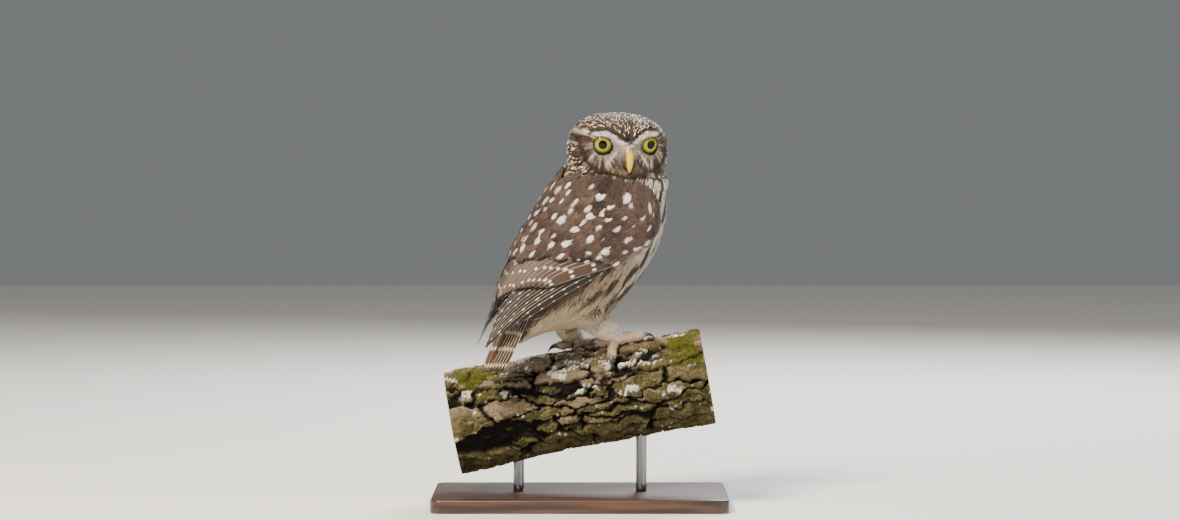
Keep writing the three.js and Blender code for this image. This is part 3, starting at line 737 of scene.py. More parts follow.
def feather_material(name, barb_scale, roughness=0.75, depth=0.2):
    """Barbed vane: its own ground colour, an oval mark or a row of them, a shaft and an edge."""
    material, tree, shader = new_material(
        name, roughness=roughness, Specular_IOR_Level=0.25, Sheen_Weight=0.1, Sheen_Roughness=0.5
    )
    read = [add_node(tree, "Attribute", {}, None, attribute_name=n) for n in ("ground", "mark", "spot")]
    ground, mark, spot = read
    centre = add_node(tree, "SeparateColor", {0: spot["Color"]}, None)
    marks = add_node(tree, "Attribute", {}, "Color", attribute_name="marks")
    repeat, mirrored, fringe = list(add_node(tree, "SeparateColor", {0: marks}, None))[:3]
    vane = add_node(tree, "UVMap", {}, uv_map="vane")
    across, along = list(add_node(tree, "SeparateXYZ", {0: vane}, None))[:2]
    out = add_node(tree, "Math", {0: across}, operation="ABSOLUTE")

    # Barbs leave the shaft slanting towards the tip, so their noise is drawn out that way.
    wide = add_node(tree, "Math", {0: out, 1: 2.5}, operation="MULTIPLY")
    barb_line = add_node(tree, "Math", {0: out, 1: -0.35, 2: along}, operation="MULTIPLY_ADD")
    drawn = add_node(tree, "Math", {0: barb_line, 1: barb_scale}, operation="MULTIPLY")
    lot = add_node(tree, "Math", {0: ground["Alpha"], 1: 9}, operation="MULTIPLY")
    slant = add_node(tree, "CombineXYZ", {0: wide, 1: drawn, 2: lot})
    barbs = add_node(tree, "TexNoise", {"Vector": slant, "Scale": 1, "Detail": 3, "Roughness": 0.55})

    # Distance from the middle of the nearest mark, in radii, made ragged by the barbs.
    web = add_node(tree, "Mix", {0: mirrored, 2: across, 3: out})
    cells = add_node(tree, "Math", {0: along, 1: repeat}, operation="MULTIPLY")
    cell = add_node(tree, "Math", {0: cells}, operation="FRACT")
    square = 0
    for place, middle, radius in ((cell, centre[1], spot["Alpha"]), (web, centre[0], centre[2])):
        off = add_node(tree, "Math", {0: place, 1: middle}, operation="SUBTRACT")
        off = add_node(tree, "Math", {0: off, 1: radius}, operation="DIVIDE")
        square = add_node(tree, "Math", {0: off, 1: off, 2: square}, operation="MULTIPLY_ADD")
    far = add_node(tree, "Math", {0: square}, operation="SQRT")
    far = add_node(tree, "Math", {0: barbs, 1: 0.6, 2: far}, operation="MULTIPLY_ADD")
    low = add_node(tree, "Math", {0: 1.3, 1: mark["Alpha"]}, operation="SUBTRACT")
    high = add_node(tree, "Math", {0: 1.3, 1: mark["Alpha"]}, operation="ADD")
    inside = add_node(tree, "MapRange", {0: far, 1: low, 2: high, 3: 1, 4: 0}, **SMOOTH)

    # Pale edge, mark, dark shaft, and the shade between barbs.
    ragged_out = add_node(tree, "Math", {0: barbs, 1: 0.2, 2: out}, operation="MULTIPLY_ADD")
    edge = add_node(tree, "MapRange", {0: ragged_out, 1: 0.88, 2: 1.08}, **SMOOTH)
    edge = add_node(tree, "Math", {0: edge, 1: fringe}, operation="MULTIPLY")
    colour = add_node(tree, "Mix", {0: edge, 6: ground["Color"], 7: "#e8d9c0"}, 2, **COLOURS)
    colour = add_node(tree, "Mix", {0: inside, 6: colour, 7: mark["Color"]}, 2, **COLOURS)
    shaft = add_node(tree, "MapRange", {0: out, 1: 0.02, 2: 0.09, 3: 0.4, 4: 0}, **SMOOTH)
    dark = add_node(tree, "Mix", {0: 0.7, 6: colour, 7: (0.02, 0.012, 0.008, 1)}, 2, **COLOURS)
    colour = add_node(tree, "Mix", {0: shaft, 6: colour, 7: dark}, 2, **COLOURS)
    shade = add_node(tree, "MapRange", {0: barbs, 1: 0.25, 2: 0.75, 3: 0.72, 4: 1.15}, **SMOOTH)
    shade = add_node(tree, "CombineColor", {0: shade, 1: shade, 2: shade})
    colour = add_node(tree, "Mix", {0: 1, 6: colour, 7: shade}, 2, blend_type="MULTIPLY", **COLOURS)
    dress(tree, shader, colour, barbs, depth)
    return material


def plain_look(bake, ground, draw, uneven):
    """The look of feathers that have no mark and no pale edge."""
    return feather_look(bake, ground, WHITE, (0, 0.6, 0.01, 0.01), draw, uneven, fringe=0.0)


# Contour feathers scatter light between loose barbs, so they are nearly matt with a soft sheen.
contour_barbs = feather_material("matt_contour_feather_barbs", 22)
# Flight feathers hook their barbs together into a smooth web, which is a little glossier.
flight_web = feather_material("satin_flight_feather_web", 50, roughness=0.55, depth=0.08)
# Down and belly feathers have no hooks, so their barbs hang loose and look like short fur.
loose_barbs = feather_material("matt_loose_downy_barbs", 5, roughness=0.85, depth=0.1)

# %% [markdown]
# ## Wings
# The folded wing is a fan shut like a deck of cards. The long primaries lie lowest, then come the
# secondaries, then the greater and the median coverts, each tier rooted under the one before it.

# %% Wing tiers
SLANT, PRIMARY_SLANT = 28, 60
WING_CURVE = 40
VANE_LIFT = 0.45
PRIMARY_TIPS = np.array([134, 148, 160, 169, 175, 178, 177.5, 172, 160, 147])
TIERS = {
    "primaries": {"count": 10, "from": (0.6, 1), "to": (0, 1), "cover": 92, "tips": PRIMARY_TIPS},
    "secondaries": {"count": 12, "from": (-0.06, 1), "to": (-0.06, 0.74), "cover": 78, "end": 112},
    "greater_coverts": {"count": 12, "from": (-0.05, 1), "to": (-0.05, 1), "cover": 50, "end": 79},
    "median_coverts": {"count": 11, "from": (-0.04, 1), "to": (-0.04, 1), "cover": 33, "end": 51},
}
ROOTED = 14


def tier_spines(hand, tier, rows):
    """Spines of one tier: lines of even share of the wing, from sunk roots out to their tips."""
    count = tier["count"]
    share = (np.arange(count) + 0.5) / count
    slant = PRIMARY_SLANT if "tips" in tier else SLANT
    near = tier["cover"] + slant * (1 - np.interp(share, [0, 1], tier["from"]))
    if "tips" in tier:
        end = np.interp(share, np.linspace(0, 1, len(tier["tips"])), tier["tips"])
        last = np.full(count, tier["tips"].max())
    else:
        end = last = tier["end"] + slant * (1 - np.interp(share, [0, 1], tier["to"]))
    t = np.linspace(0, 1, rows)
    aft = (near - ROOTED)[:, None] + (end - near + ROOTED)[:, None] * t
    mix = np.clip(0.1 + (aft - near[:, None]) / (end - near)[:, None], 0, 1)
    low = tier["from"][0] + (tier["to"][0] - tier["from"][0]) * mix
    high = tier["from"][1] + (tier["to"][1] - tier["from"][1]) * mix
    across = low + (high - low) * share[:, None]
    pitch = (high - low) * wing_breadth(aft) / count
    cover = (aft - near[:, None]) / (last - near)[:, None]
    height = np.where(cover > 0, -3.2 + 2.8 * cover, -3.2 + 0.16 * (aft - near[:, None]))
    middle = wing_point(hand, aft, across, height)
    out = unit(wing_point(hand, aft, across, height + 1) - middle)
    return middle, out, pitch.mean(1), aft, across


def wing_atlas(hand, aft, across):
    """Roots on the unwrapped wing."""
    return atlas("wing_right" if hand > 0 else "wing_left", across, aft / 180)


# Marks of each tier: rows along a vane, place across and along, two radii, share that has them,
# how pale the edge is.
TIER_MARKS = {
    "primaries": (8, 0.95, 0.5, 0.28, 0.11, 0.75, 0.45),
    "secondaries": (4, 0.5, 0.5, 0.27, 0.1, 0.8, 0.4),
    "greater_coverts": (1, 0.35, 0.86, 0.34, 0.075, 0.55, 0.2),
    "median_coverts": (1, 0.2, 0.84, 0.36, 0.1, 0.35, 0.1),
}
for hand, side_name in SIDES:
    draw = np.random.default_rng(11 if hand > 0 else 12)
    for tier_name, tier in TIERS.items():
        repeat, web, along, wide, long, marked, fringe = TIER_MARKS[tier_name]
        spines, outs, pitch, aft, across = tier_spines(hand, tier, 14)
        count = tier["count"]
        bake = wing_atlas(hand, aft[:, 0], across[:, 0])
        ground = mixed(MANTLE, MANTLE_DARK, 0.3 + 0.5 * waves(spines[:, 9], 30, 4))
        if tier_name == "primaries":
            ground = mixed(MANTLE_DARK, rgb("#1d140e"), draw.uniform(0.3, 0.9, count))
        has_mark = draw.uniform(0, 1, count) < marked
        size = np.where(has_mark, draw.uniform(0.75, 1.2, count), 0.02)
        place = (draw.uniform(-0.1, 0.1, count) + web) * (1 if repeat > 1 else hand)
        line = along + draw.uniform(-0.045, 0.045, count) * repeat
        spot = np.stack([place, line, wide * size, long * size], -1)
        mark = mixed(WHITE, BUFF, draw.uniform(0.2, 1, count) * (1 if repeat > 1 else 0.4))
        look = feather_look(
            bake, ground, mark, spot, draw, 0.16, 0.45, repeat, float(repeat > 1), fringe
        )
        rise = (2 * 0.75 * pitch) ** 2 / (8 * WING_CURVE) + VANE_LIFT
        made = make_feathers(
            f"{tier_name}_{side_name}", flight_web, spines, outs, 0.75 * pitch,
            [0.5, 0.8, 0.95, 1, 1, 0.98, 0.85, 0.3], 7, look, draw, camber=0.05,
            twist=-hand * rise / pitch,
        )
        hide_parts(f"wing_{side_name}")

# %% [markdown]
# ## Head
# An owl's face is a pattern of lines: white brows that meet over the bill, a dark rim round each
# disc, fine rays that run out from the eyes, and pale drops on a dark crown. Each line is written
# as a distance in a front view of the face, so that every small feather knows how near it is.

# %% Face pattern
EYE_OUTWARD = math.radians(15)
MOUND = 10.5


def eye_centre(hand):
    """Middle of an eyeball, in the head's frame."""
    return np.array([hand * EYE["side"], EYE["front"], EYE["up"]])


def eye_way(hand):
    """The way an eye looks, in the head's frame."""
    return np.array([hand * math.sin(EYE_OUTWARD), math.cos(EYE_OUTWARD), 0])


BRIDGE, BRIDGE_RADII = np.array([[0, 30.5, 8.6], [4.4, 5.6, 4.0]])


def lid_edge(turn, hand):
    """Angle from the way an eye looks to the free edge of its lids, in degrees.

    turn goes round the eye from straight up towards the owl's right. The edge comes low over the
    top of the iris, most of all towards the bill, which gives the frown.
    """
    return 41.5 - 10 * np.exp(-((np.sin(turn / 2 + 0.13 * hand) / 0.48) ** 2))


def head_coat(places):
    """Distance to the coat with low mounds round the eyeballs and over the root of the bill."""
    made = flesh(places)
    out = (places - from_head(*BRIDGE)) @ HEAD_AXES.T
    share = np.linalg.norm(out / BRIDGE_RADII, axis=-1)
    bridge = share * (share - 1) / (np.linalg.norm(out / BRIDGE_RADII**2, axis=-1) + 1e-9)
    made = blend(made, bridge, 3)
    for hand in (1, -1):
        centre = from_head(*eye_centre(hand))
        made = blend(made, np.linalg.norm(places - centre, axis=-1) - MOUND, 2.5)
    return made


def line_distance(x, z, line):
    """Distance in a front view to a line through places [x, z]."""
    spot = np.stack([x, z], -1)
    nearest = np.full(x.shape, 1e3)
    for start, end in zip(np.array(line[:-1], float), np.array(line[1:], float)):
        way = end - start
        f = np.clip((spot - start) @ way / (way @ way), 0, 1)
        nearest = np.minimum(nearest, np.linalg.norm(spot - start - f[..., None] * way, axis=-1))
    return nearest


BROW = [[0, 7.5], [4.6, 10.8], [9, 14.2], [15.5, 17.4], [22, 16.6], [29, 17.5]]
BROW_TOP = [[3, 12.5], [8, 16.5], [13, 20], [19, 20.4], [24, 19.6], [27.5, 16]]
DISC_RIM = [[34, 12], [32, 4], [30, -2], [27, -6.5], [22, -8.6], [15.5, -10], [7.5, -12], [0, -13.2]]
LORE = [[8.6, 4.5], [12, 0], [16, -5]]
MOUSTACHE = [[6.5, 0], [9, -4], [13, -8]]
BILL_BASE = [[3.4, 5], [5, 2], [5.4, -1]]
EAR_PATCH = [[28, 12], [31, 9]]
# Each line with its colour, where it fades out, where it is full, and how strong it is.
FACE_LINES = (
    (MOUSTACHE, "#2e2219", 1.4, 0.5, 0.8),
    (LORE, "#ece2d6", 1.2, 0.5, 0.8),
    (BILL_BASE, "#231a13", 2.3, 1.2, 0.92),
    (DISC_RIM, "#261b13", 2.4, 1.2, 0.95),
    (EAR_PATCH, "#4a382b", 3.5, 1.5, 0.8),
)


def eye_polar(x, z):
    """Distance from the eye in a front view, and the angle from outward round to upward."""
    return np.hypot(x - EYE["side"], z - EYE["up"]), np.arctan2(z - EYE["up"], x - EYE["side"])


def face_colour(local, seed=81):
    """Colour of the face at places in the head's frame, both halves alike but for the rays."""
    x, z = np.abs(local[:, 0]), local[:, 2]
    far, angle = eye_polar(x, z)
    sheet = np.stack([angle * 13, far * 0.16, np.sign(local[:, 0]) * 20], -1)
    ray = waves(sheet, 2.6, seed) + 0.5 * waves(sheet, 1.3, seed + 1)
    colour = mixed(rgb("#8a7868"), rgb("#3a2c22"), smooth(ray, -0.15, 0.5) * smooth(far, 7.5, 12))
    colour = mixed(colour, rgb("#d0c3b4"), 0.75 * smooth(-ray, 0.35, 0.85) * smooth(far, 8, 12))
    below = smooth(np.sin(angle), 0.35, -0.35)
    pale = 0.75 * smooth(far, 13, 9.5) * below * (1 - 0.6 * smooth(ray, 0, 0.6))
    colour = mixed(colour, rgb("#a5998d"), pale)
    inner = smooth(line_distance(x, z, [[5, 3], [6.5, 9], [9, 12]]), 3.4, 1.8)
    colour = mixed(colour, rgb("#b8ac9f"), inner * (0.8 - 0.4 * smooth(ray, 0.1, 0.6)))
    tan = smooth(z, -2, -8) * smooth(x, 22, 12)
    colour = mixed(colour, mixed(rgb("#a88a65"), rgb("#4f3a27"), smooth(ray, -0.1, 0.5)), 0.8 * tan)
    colour = mixed(colour, rgb("#7d6749"), 0.8 * smooth(np.hypot(x - 5, (z + 3) / 1.6), 6, 3))
    for line, code, fade, full, share in FACE_LINES:
        colour = mixed(colour, rgb(code), smooth(line_distance(x, z, line), fade, full) * share)
    brow = smooth(line_distance(x, z, BROW), 2.2 - 0.6 * smooth(x, 14, 24), 1.3 - 0.5 * smooth(x, 14, 24))
    colour = mixed(colour, rgb("#f4ebe0"), brow * (0.92 - 0.5 * smooth(ray, 0.2, 0.7)))
    return mixed(colour, rgb("#241b15"), smooth(line_distance(x, z, BROW_TOP), 1.5, 0.7) * 0.9)


def is_face(local):
    """1 on the face: in front, below the brows and above the rim of the disc."""
    x, z = np.abs(local[:, 0]), local[:, 2]
    top = np.interp(x, [0, 5, 10, 16, 23, 30], [9.5, 13, 17, 20.4, 20, 19])
    low = np.interp(x, [0, 8, 16, 23, 30, 34], [-14.5, -13, -11.5, -10, -4, 8])
    front = np.interp(x, [0, 25, 31, 35], [10, 6, 1, 0])
    return (z < top) & (z > low) & (local[:, 1] > front)


# %% [markdown]
# ## The lie of the feathers
# Feathers lie like scales, away from the bill and from the eyes, and aft over the neck. Combing
# them by hand would be slow, so the lie is written as a way at each place and laid flat on the coat.

# %% Lie of the head's feathers
GOLDEN = np.pi * (3 - np.sqrt(5))
GOLDEN_SHARE = 0.6180339887
BILL_ROOT = np.array([0, 27, 6.5])
# Places spread over the whole ball of the head, of which each kind of feather keeps its own part.
CROWN_ROOTS, FACE_ROOTS, BRISTLE_ROOTS = 4600, 50000, 60000


def sphere_ways(count):
    """Directions spread evenly over a ball by the golden angle."""
    number = np.arange(count)
    up = 1 - 2 * (number + 0.5) / count
    ring = np.sqrt(1 - up**2)
    return np.stack([ring * np.cos(number * GOLDEN), ring * np.sin(number * GOLDEN), up], -1)


def along_surface(ways, outs):
    """Ways with their part along the outward way taken off."""
    return unit(ways - np.sum(ways * outs, -1, keepdims=True) * outs)


def body_lie(places, outs):
    """The way that feathers point on the body: aft, and a little down."""
    return along_surface(np.broadcast_to(AFT + [0, 0, -0.15], places.shape), outs)


def head_lie(places, outs):
    """The way that feathers point on the head: away from the bill, and out round the eyes.

    Behind and below the head this turns into the way of the body's feathers.
    """
    local = np.stack(to_head(places), -1)
    mirror = np.where(local[:, :1] > 0, 1.0, -1.0)
    from_eye = local - eye_centre(1) * np.concatenate([mirror, np.ones((len(local), 2))], 1)
    near = smooth(np.linalg.norm(from_eye, axis=-1), 25, 14)
    near = (near * smooth(local[:, 2], 16, 11) * smooth(np.abs(local[:, 0]), 2, 7))[:, None]
    way = unit(unit(local - BILL_ROOT) * (1 - near) + unit(from_eye) * near)
    aft = smooth(local[:, 2], -12, -22) + smooth(local[:, 1], -2, -24)
    aft = np.clip(aft, 0, 1)[:, None]
    return along_surface(way @ HEAD_AXES * (1 - aft) + (AFT + [0, 0, -0.3]) * aft, outs)


def head_roots(count, least_front=-1.0):
    """Roots spread over the head's coat, the outward ways there, and places in its own frame."""
    ways = sphere_ways(count)
    ways = ways[ways[:, 1] > least_front]
    roots, outs = settle(HEAD + 34 * ways @ HEAD_AXES, 0, 5, head_coat)
    local = np.stack(to_head(roots), -1)
    mirror = np.where(local[:, :1] > 0, 1.0, -1.0) * [1, 0, 0] + [0, 1, 1]
    out = local * mirror - eye_centre(1)
    off_axis = np.degrees(np.arccos(np.clip(unit(out) @ eye_way(1), -1, 1)))
    turn = np.arctan2(out[:, 0] - out[:, 1] * math.tan(EYE_OUTWARD), out[:, 2])
    in_eye = (off_axis < lid_edge(turn, 1) - 0.3) & (np.linalg.norm(out, axis=-1) < 11.8)
    bill = (np.hypot(local[:, 0] / 4.0, (local[:, 2] + 2.5) / 7) < 1) & (local[:, 1] > 20)
    below = (head_distance(roots) > 2) | (local[:, 2] < -27)
    return roots, outs, local, ~(in_eye | bill | below)


# %% [markdown]
# The crown and nape wear small round feathers, dark with a pale drop near the tip. They are vanes
# like those of the body, only shorter. Their roots are spread by the golden angle.

# %% Crown, nape and cheeks
draw = np.random.default_rng(51)
roots, outs, local, keep = head_roots(CROWN_ROOTS)
keep &= ~is_face(local)
roots, outs, local = roots[keep], outs[keep], local[keep]
count = len(roots)
ways = head_lie(roots, outs) + draw.normal(0, 0.09, roots.shape)
length = draw.uniform(6, 8.5, count)
spines, feather_outs = walk(roots, ways, length, 6, [-2.2, -1.1, -0.4, 0.0, 0.15], head_coat)
spines = spines + feather_outs * draw.normal(0, 0.12, count)[:, None, None]
half = draw.uniform(0.9, 1.35, count)
front = smooth(local[:, 1], -5, 18) * smooth(local[:, 2], 0, 12)
low = smooth(local[:, 2], 2, -10)
size = np.where(draw.uniform(0, 1, count) < 0.36 + 0.14 * front, draw.uniform(0.8, 1.25, count), 0.02)
wide, long = size * (0.5 - 0.1 * front), size * (0.2 - 0.04 * low)
spot = np.stack([draw.uniform(-0.15, 0.15, count), 0.76 + 0 * half, wide, long], -1)
ground = mixed(rgb("#47311f"), rgb("#291b12"), 0.5 + 0.5 * waves(roots, 12, 9))
ground = mixed(ground, rgb("#6e543c"), 0.5 * low)
mark = mixed(rgb("#fbe9d0"), rgb("#c9a882"), draw.uniform(-0.6, 1, count))
look = feather_look(unwrap_body(roots), ground, mark, spot, draw, 0.16, 0.35, fringe=0.0)
make_feathers(
    "crown_and_nape_feathers", contour_barbs, spines, feather_outs, half,
    [0.5, 0.9, 1, 0.8, 0.25], 3, look, draw, ragged=0.3,
)

# %% [markdown]
# The face is covered with fine stiff feathers, almost hairs, which draw the rays round the eyes.
# Thousands of narrow vanes show that grain, and each is coloured by its own place in the pattern.

# %% Face feathers
draw = np.random.default_rng(52)
roots, outs, local, keep = head_roots(FACE_ROOTS, -0.05)
keep &= is_face(local)
roots, outs, local = roots[keep], outs[keep], local[keep]
count = len(roots)
ways = head_lie(roots, outs) + draw.normal(0, 0.13, roots.shape)
near_bill = smooth(np.hypot(local[:, 0], local[:, 2] - 1), 12, 6)
from_eye, _ = eye_polar(np.abs(local[:, 0]), local[:, 2])
length = np.interp(from_eye, [8, 12, 20], [2.6, 3.6, 5.4]) * draw.uniform(0.8, 1.2, count)
spines, feather_outs = walk(roots, ways, length, 5, [-0.3, -0.05, 0.05, 0.1, 0.2], head_coat)
lift = np.linspace(0, 1, 5) ** 2 * (0.8 * near_bill[:, None] + draw.uniform(0, 0.4, (count, 1)))
spines = spines + feather_outs * (lift + draw.normal(0, 0.1, (count, 1)))[..., None]
half = np.interp(from_eye, [8, 20], [0.16, 0.3]) * draw.uniform(0.8, 1.3, count)
middle = np.stack(to_head(spines[:, 2]), -1)
look = plain_look(unwrap_body(roots), face_colour(middle), draw, 0.22)
make_lots(
    "face_feathers", 2, np.argsort(local[:, 0]), loose_barbs, spines, feather_outs, half,
    [0.8, 1, 0.9, 0.6, 0.1], 3, look, draw, ragged=0.4, thick=0.1,
)

# %% [markdown]
# Stiff bristles hide the root of the bill. They leave the lores forward and hang over the horn, so
# they are thrown like small arcs that sag, and don't follow the coat.

# %% Bristles round the bill
draw = np.random.default_rng(53)
roots, outs, local, keep = head_roots(BRISTLE_ROOTS, 0.5)
keep &= (np.hypot(local[:, 0] / 6.8, (local[:, 2] - 3.5) / 8.5) < 1) & (local[:, 2] < 11)
roots, outs, local = roots[keep], outs[keep], local[keep]
count = len(roots)
outward = np.sign(local[:, :1]) * [1, 0, 0] * smooth(np.abs(local[:, :1]), 1, 5)
ahead = np.array([0, 0.35, 0.2]) * smooth(np.abs(local[:, :1]), 4, 2)
ways = unit(np.array([0, 0.55, -0.75]) + ahead + 0.22 * outward + draw.normal(0, 0.16, local.shape))
t = np.linspace(0, 1, 6)[:, None]
reach = draw.uniform(4.5, 9, (count, 1, 1)) * t
sag = np.array([0, -0.12, -0.3]) * reach**2 * 0.16
spines = roots[:, None] - 0.5 * outs[:, None] + (ways[:, None] * reach + sag) @ HEAD_AXES
feather_outs = np.broadcast_to(HEAD_FRONT, spines.shape)
shade = draw.uniform(0, 1, count) + 0.5 * smooth(local[:, 2], 4, 9)
ground = mixed(rgb("#33281f"), rgb("#b9ada0"), smooth(shade, 0.3, 1.1))
look = plain_look(unwrap_body(roots), ground, draw, 0.2)
make_feathers(
    "bill_bristles", loose_barbs, spines, feather_outs, draw.uniform(0.1, 0.2, count),
    [0.8, 1, 0.9, 0.6, 0.1], 3, look, draw, thick=0.1,
)

# %% [markdown]
# Now that the face has its colours, the skin can be made. It carries the colours of the feathers
# over it, and is dark round the eyes, where the bare rim of the lids begins.

# %% Skin object
skin_material, tree, shader = new_material("matt_skin_with_down", "#8a7563", 0.9)
dress(tree, shader, add_node(tree, "Attribute", {}, "Color", attribute_name="ground"))
local = np.stack(to_head(skin_points), -1)
skin_ground = np.where(is_face(local)[:, None], face_colour(local), ground_colour(skin_points))
for hand in (1, -1):
    from_eye = np.linalg.norm(local - eye_centre(hand), axis=-1)
    skin_ground = mixed(skin_ground, rgb("#17110d"), smooth(from_eye, 14.5, 12.5))
skin = make_piece(
    "skin", skin_points, skin_quads, skin_material, ground=skin_ground, bake=unwrap_body(skin_points)
)
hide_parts("head", "neck", "torso", "leg_left", "leg_right")
print("skin", 2 * len(skin_quads), "triangles")


# %% [markdown]
# ## Shoulders and back
# The scapulars are broad soft vanes that cover the folded wings and meet over the back. They lie in
# rows like tiles, each row half a vane off the last, and about every third one has a white drop. A
# layer of fine tufts breaks up their outlines.

# %% Shoulder and back feathers
def wing_tufts(hand, aft, across, length, rows, heights):
    """Spines over the wing's surface that run aft from their roots, at the heights of a profile."""
    t = np.linspace(0, 1, rows)
    places_aft = aft[:, None] + length[:, None] * t
    share = np.broadcast_to(across[:, None], places_aft.shape)
    lift = np.broadcast_to(profile(heights, rows), places_aft.shape)
    middle = wing_point(hand, places_aft, share, lift)
    return middle, unit(wing_point(hand, places_aft, share, lift + 1) - middle)


SCAPULAR_PITCH, SCAPULAR_ROWS = 7.6, np.arange(-6, 67, 5.6)
TUFT_CANDIDATES, TUFTS_FROM, TUFTS_TO = 9400, -10, 106
SCAPULAR_HEIGHTS = [-2.6, -1.2, -0.6, -0.3, -0.12]
SCAPULAR_WIDTHS = [0.4, 0.8, 1, 1, 0.8, 0.3]


def over_collar(places):
    """True above the line where the collar of the neck lies over the feathers of the back."""
    return places[:, 2] > np.interp(places[:, 0], [-16, 8, 58], [254, 246, 239])


def colour_on_top(hand, aft, across, tiles, draw):
    """Colour at places on the wing of the vane that lies uppermost there, and how it is marked.

    A vane is on top where its height, taken from its profile, beats that of the others. A mark is
    as soft at its border as a frayed feather.
    """
    u = (aft[:, None] - tiles["aft"]) / tiles["length"]
    v = hand * (across[:, None] - tiles["across"]) * wing_breadth(aft)[:, None] / tiles["half"]
    height = np.interp(u, np.linspace(0, 1, 5), SCAPULAR_HEIGHTS) - 0.15 * v**2
    covered = (u > 0) & (u < 1) & (np.abs(v) < np.interp(u, np.linspace(0, 1, 6), SCAPULAR_WIDTHS))
    owner = np.where(covered, height, -1e3).argmax(1)
    number = np.arange(len(aft))
    u, v, spot = u[number, owner], v[number, owner], tiles["spot"][owner]
    far = np.hypot((v - spot[:, 0]) / spot[:, 2], (u - spot[:, 1]) / spot[:, 3])
    inside = smooth(far + draw.normal(0, 0.12, len(far)), 1.2, 0.9)
    # The dark line along the shaft is the feather's own; the darkening towards each vane's outline is
    # painted shade, the shadow line where one tile lies over the next.
    rim = np.maximum(np.abs(v) / np.interp(u, np.linspace(0, 1, 6), SCAPULAR_WIDTHS), 1.06 * u)
    shade = (1 - 0.25 * smooth(np.abs(v), 0.12, 0.02)) * (1 - 0.4 * smooth(rim, 0.8, 1.0))
    ground = tiles["ground"][owner] * shade[:, None]
    return mixed(ground, tiles["mark"][owner], inside), inside, covered.any(1)


for hand, side_name in SIDES:
    draw = np.random.default_rng(21 if hand > 0 else 22)
    aft, across, chosen = [], [], []
    for row, line in enumerate(SCAPULAR_ROWS):
        count = int(wing_breadth(line + 20) / SCAPULAR_PITCH)
        share = (np.arange(count) + 0.5 * (row % 2) + 0.25) / count
        share = share[share < 1.1 - 0.45 * smooth(line, 46, 66)]
        chosen.append((np.arange(len(share)) - row // 2 + 2 * row) % 3 == 0)
        aft.append(line + SLANT * (1 - share) + draw.normal(0, 1.6, len(share)))
        across.append(share + draw.normal(0, 0.012, len(share)))
    aft, across, chosen = np.concatenate(aft), np.concatenate(across), np.concatenate(chosen)
    keep = ~over_collar(wing_point(hand, aft, across) - [0, 0, 3])
    aft, across, chosen = aft[keep], across[keep], chosen[keep]
    count = len(aft)
    length = draw.uniform(15, 18, count)
    spines, outs = wing_tufts(hand, aft, across, length, 9, SCAPULAR_HEIGHTS)
    size = np.where(chosen | (draw.uniform(0, 1, count) < 0.07), draw.uniform(0.6, 1.25, count), 0.02)
    spot = [draw.uniform(-0.25, 0.25, count), draw.uniform(0.68, 0.8, count)]
    spot += [size * draw.uniform(0.36, 0.5, count), size * draw.uniform(0.2, 0.28, count)]
    spot = np.stack(spot, -1)
    ground = mixed(MANTLE, MANTLE_DARK, 0.45 + 0.5 * waves(spines[:, 6], 34, 3))
    ground = mixed(ground, MANTLE_WARM, 0.2 + 0.5 * waves(spines[:, 6], 15, 8))
    mark = mixed(WHITE, BUFF, draw.uniform(-0.7, 0.9, count))
    bake, soft = wing_atlas(hand, aft, across), draw.uniform(0.12, 0.4, count)
    look = feather_look(bake, ground, mark, spot, draw, 0.2, soft, fringe=0.08)
    half = draw.uniform(5.0, 5.9, count)
    made = make_feathers(
        f"scapulars_{side_name}", contour_barbs, spines, outs, half,
        SCAPULAR_WIDTHS, 9, look, draw, ragged=0.15, camber=0.04, thick=0.08,
    )
    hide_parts(f"wing_{side_name}")

    # Over the vanes lie the loose ends of their barbs, coloured like the vane below them. They
    # fray the marks and hide the outlines, which is why a real mantle looks smooth.
    tiles = {"aft": aft, "across": across, "length": length, "half": half, "spot": spot}
    tiles["ground"], tiles["mark"] = look["ground"][:, :3], mark
    number = np.arange(TUFT_CANDIDATES)
    tuft_aft = TUFTS_FROM + (TUFTS_TO - TUFTS_FROM) * (number + 0.5) / len(number)
    tuft_across = 1.04 * ((number * GOLDEN_SHARE) % 1) - 0.04
    length = draw.uniform(3.5, 6, len(number))
    middle = tuft_aft + 0.55 * length
    colour, inside, covered = colour_on_top(hand, middle, tuft_across, tiles, draw)
    # A tuft that would cross the border of a mark is left out, so the mark keeps its outline.
    for share in (0.2, 0.85):
        _, there, _ = colour_on_top(hand, tuft_aft + share * length, tuft_across, tiles, draw)
        covered &= np.abs(there - inside) < 0.6
    covered &= ~over_collar(wing_point(hand, middle, tuft_across) - [0, 0, 2])
    tuft_aft, tuft_across, length, colour = (a[covered] for a in (tuft_aft, tuft_across, length, colour))
    spines, outs = wing_tufts(hand, tuft_aft, tuft_across, length, 4, [-0.6, -0.05, 0.05, 0.15])
    lift = draw.normal(0, 0.07, len(length))
    spines = spines + outs * lift[:, None, None]
    look = plain_look(wing_atlas(hand, tuft_aft, tuft_across), colour, draw, 0.1)
    made = make_feathers(
        f"mantle_barbs_{side_name}", loose_barbs, spines, outs, draw.uniform(0.33, 0.6, len(length)),
        [0.7, 1, 0.8, 0.1], 3, look, draw, ragged=0.5, thick=0.08,
    )
    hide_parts(f"wing_{side_name}")

# %% [markdown]
# The closed tail is a stack of twelve stiff feathers. The two middle ones lie on top, and each pair
# below shows a little more at the side, so every feather is set deeper than the one before it.

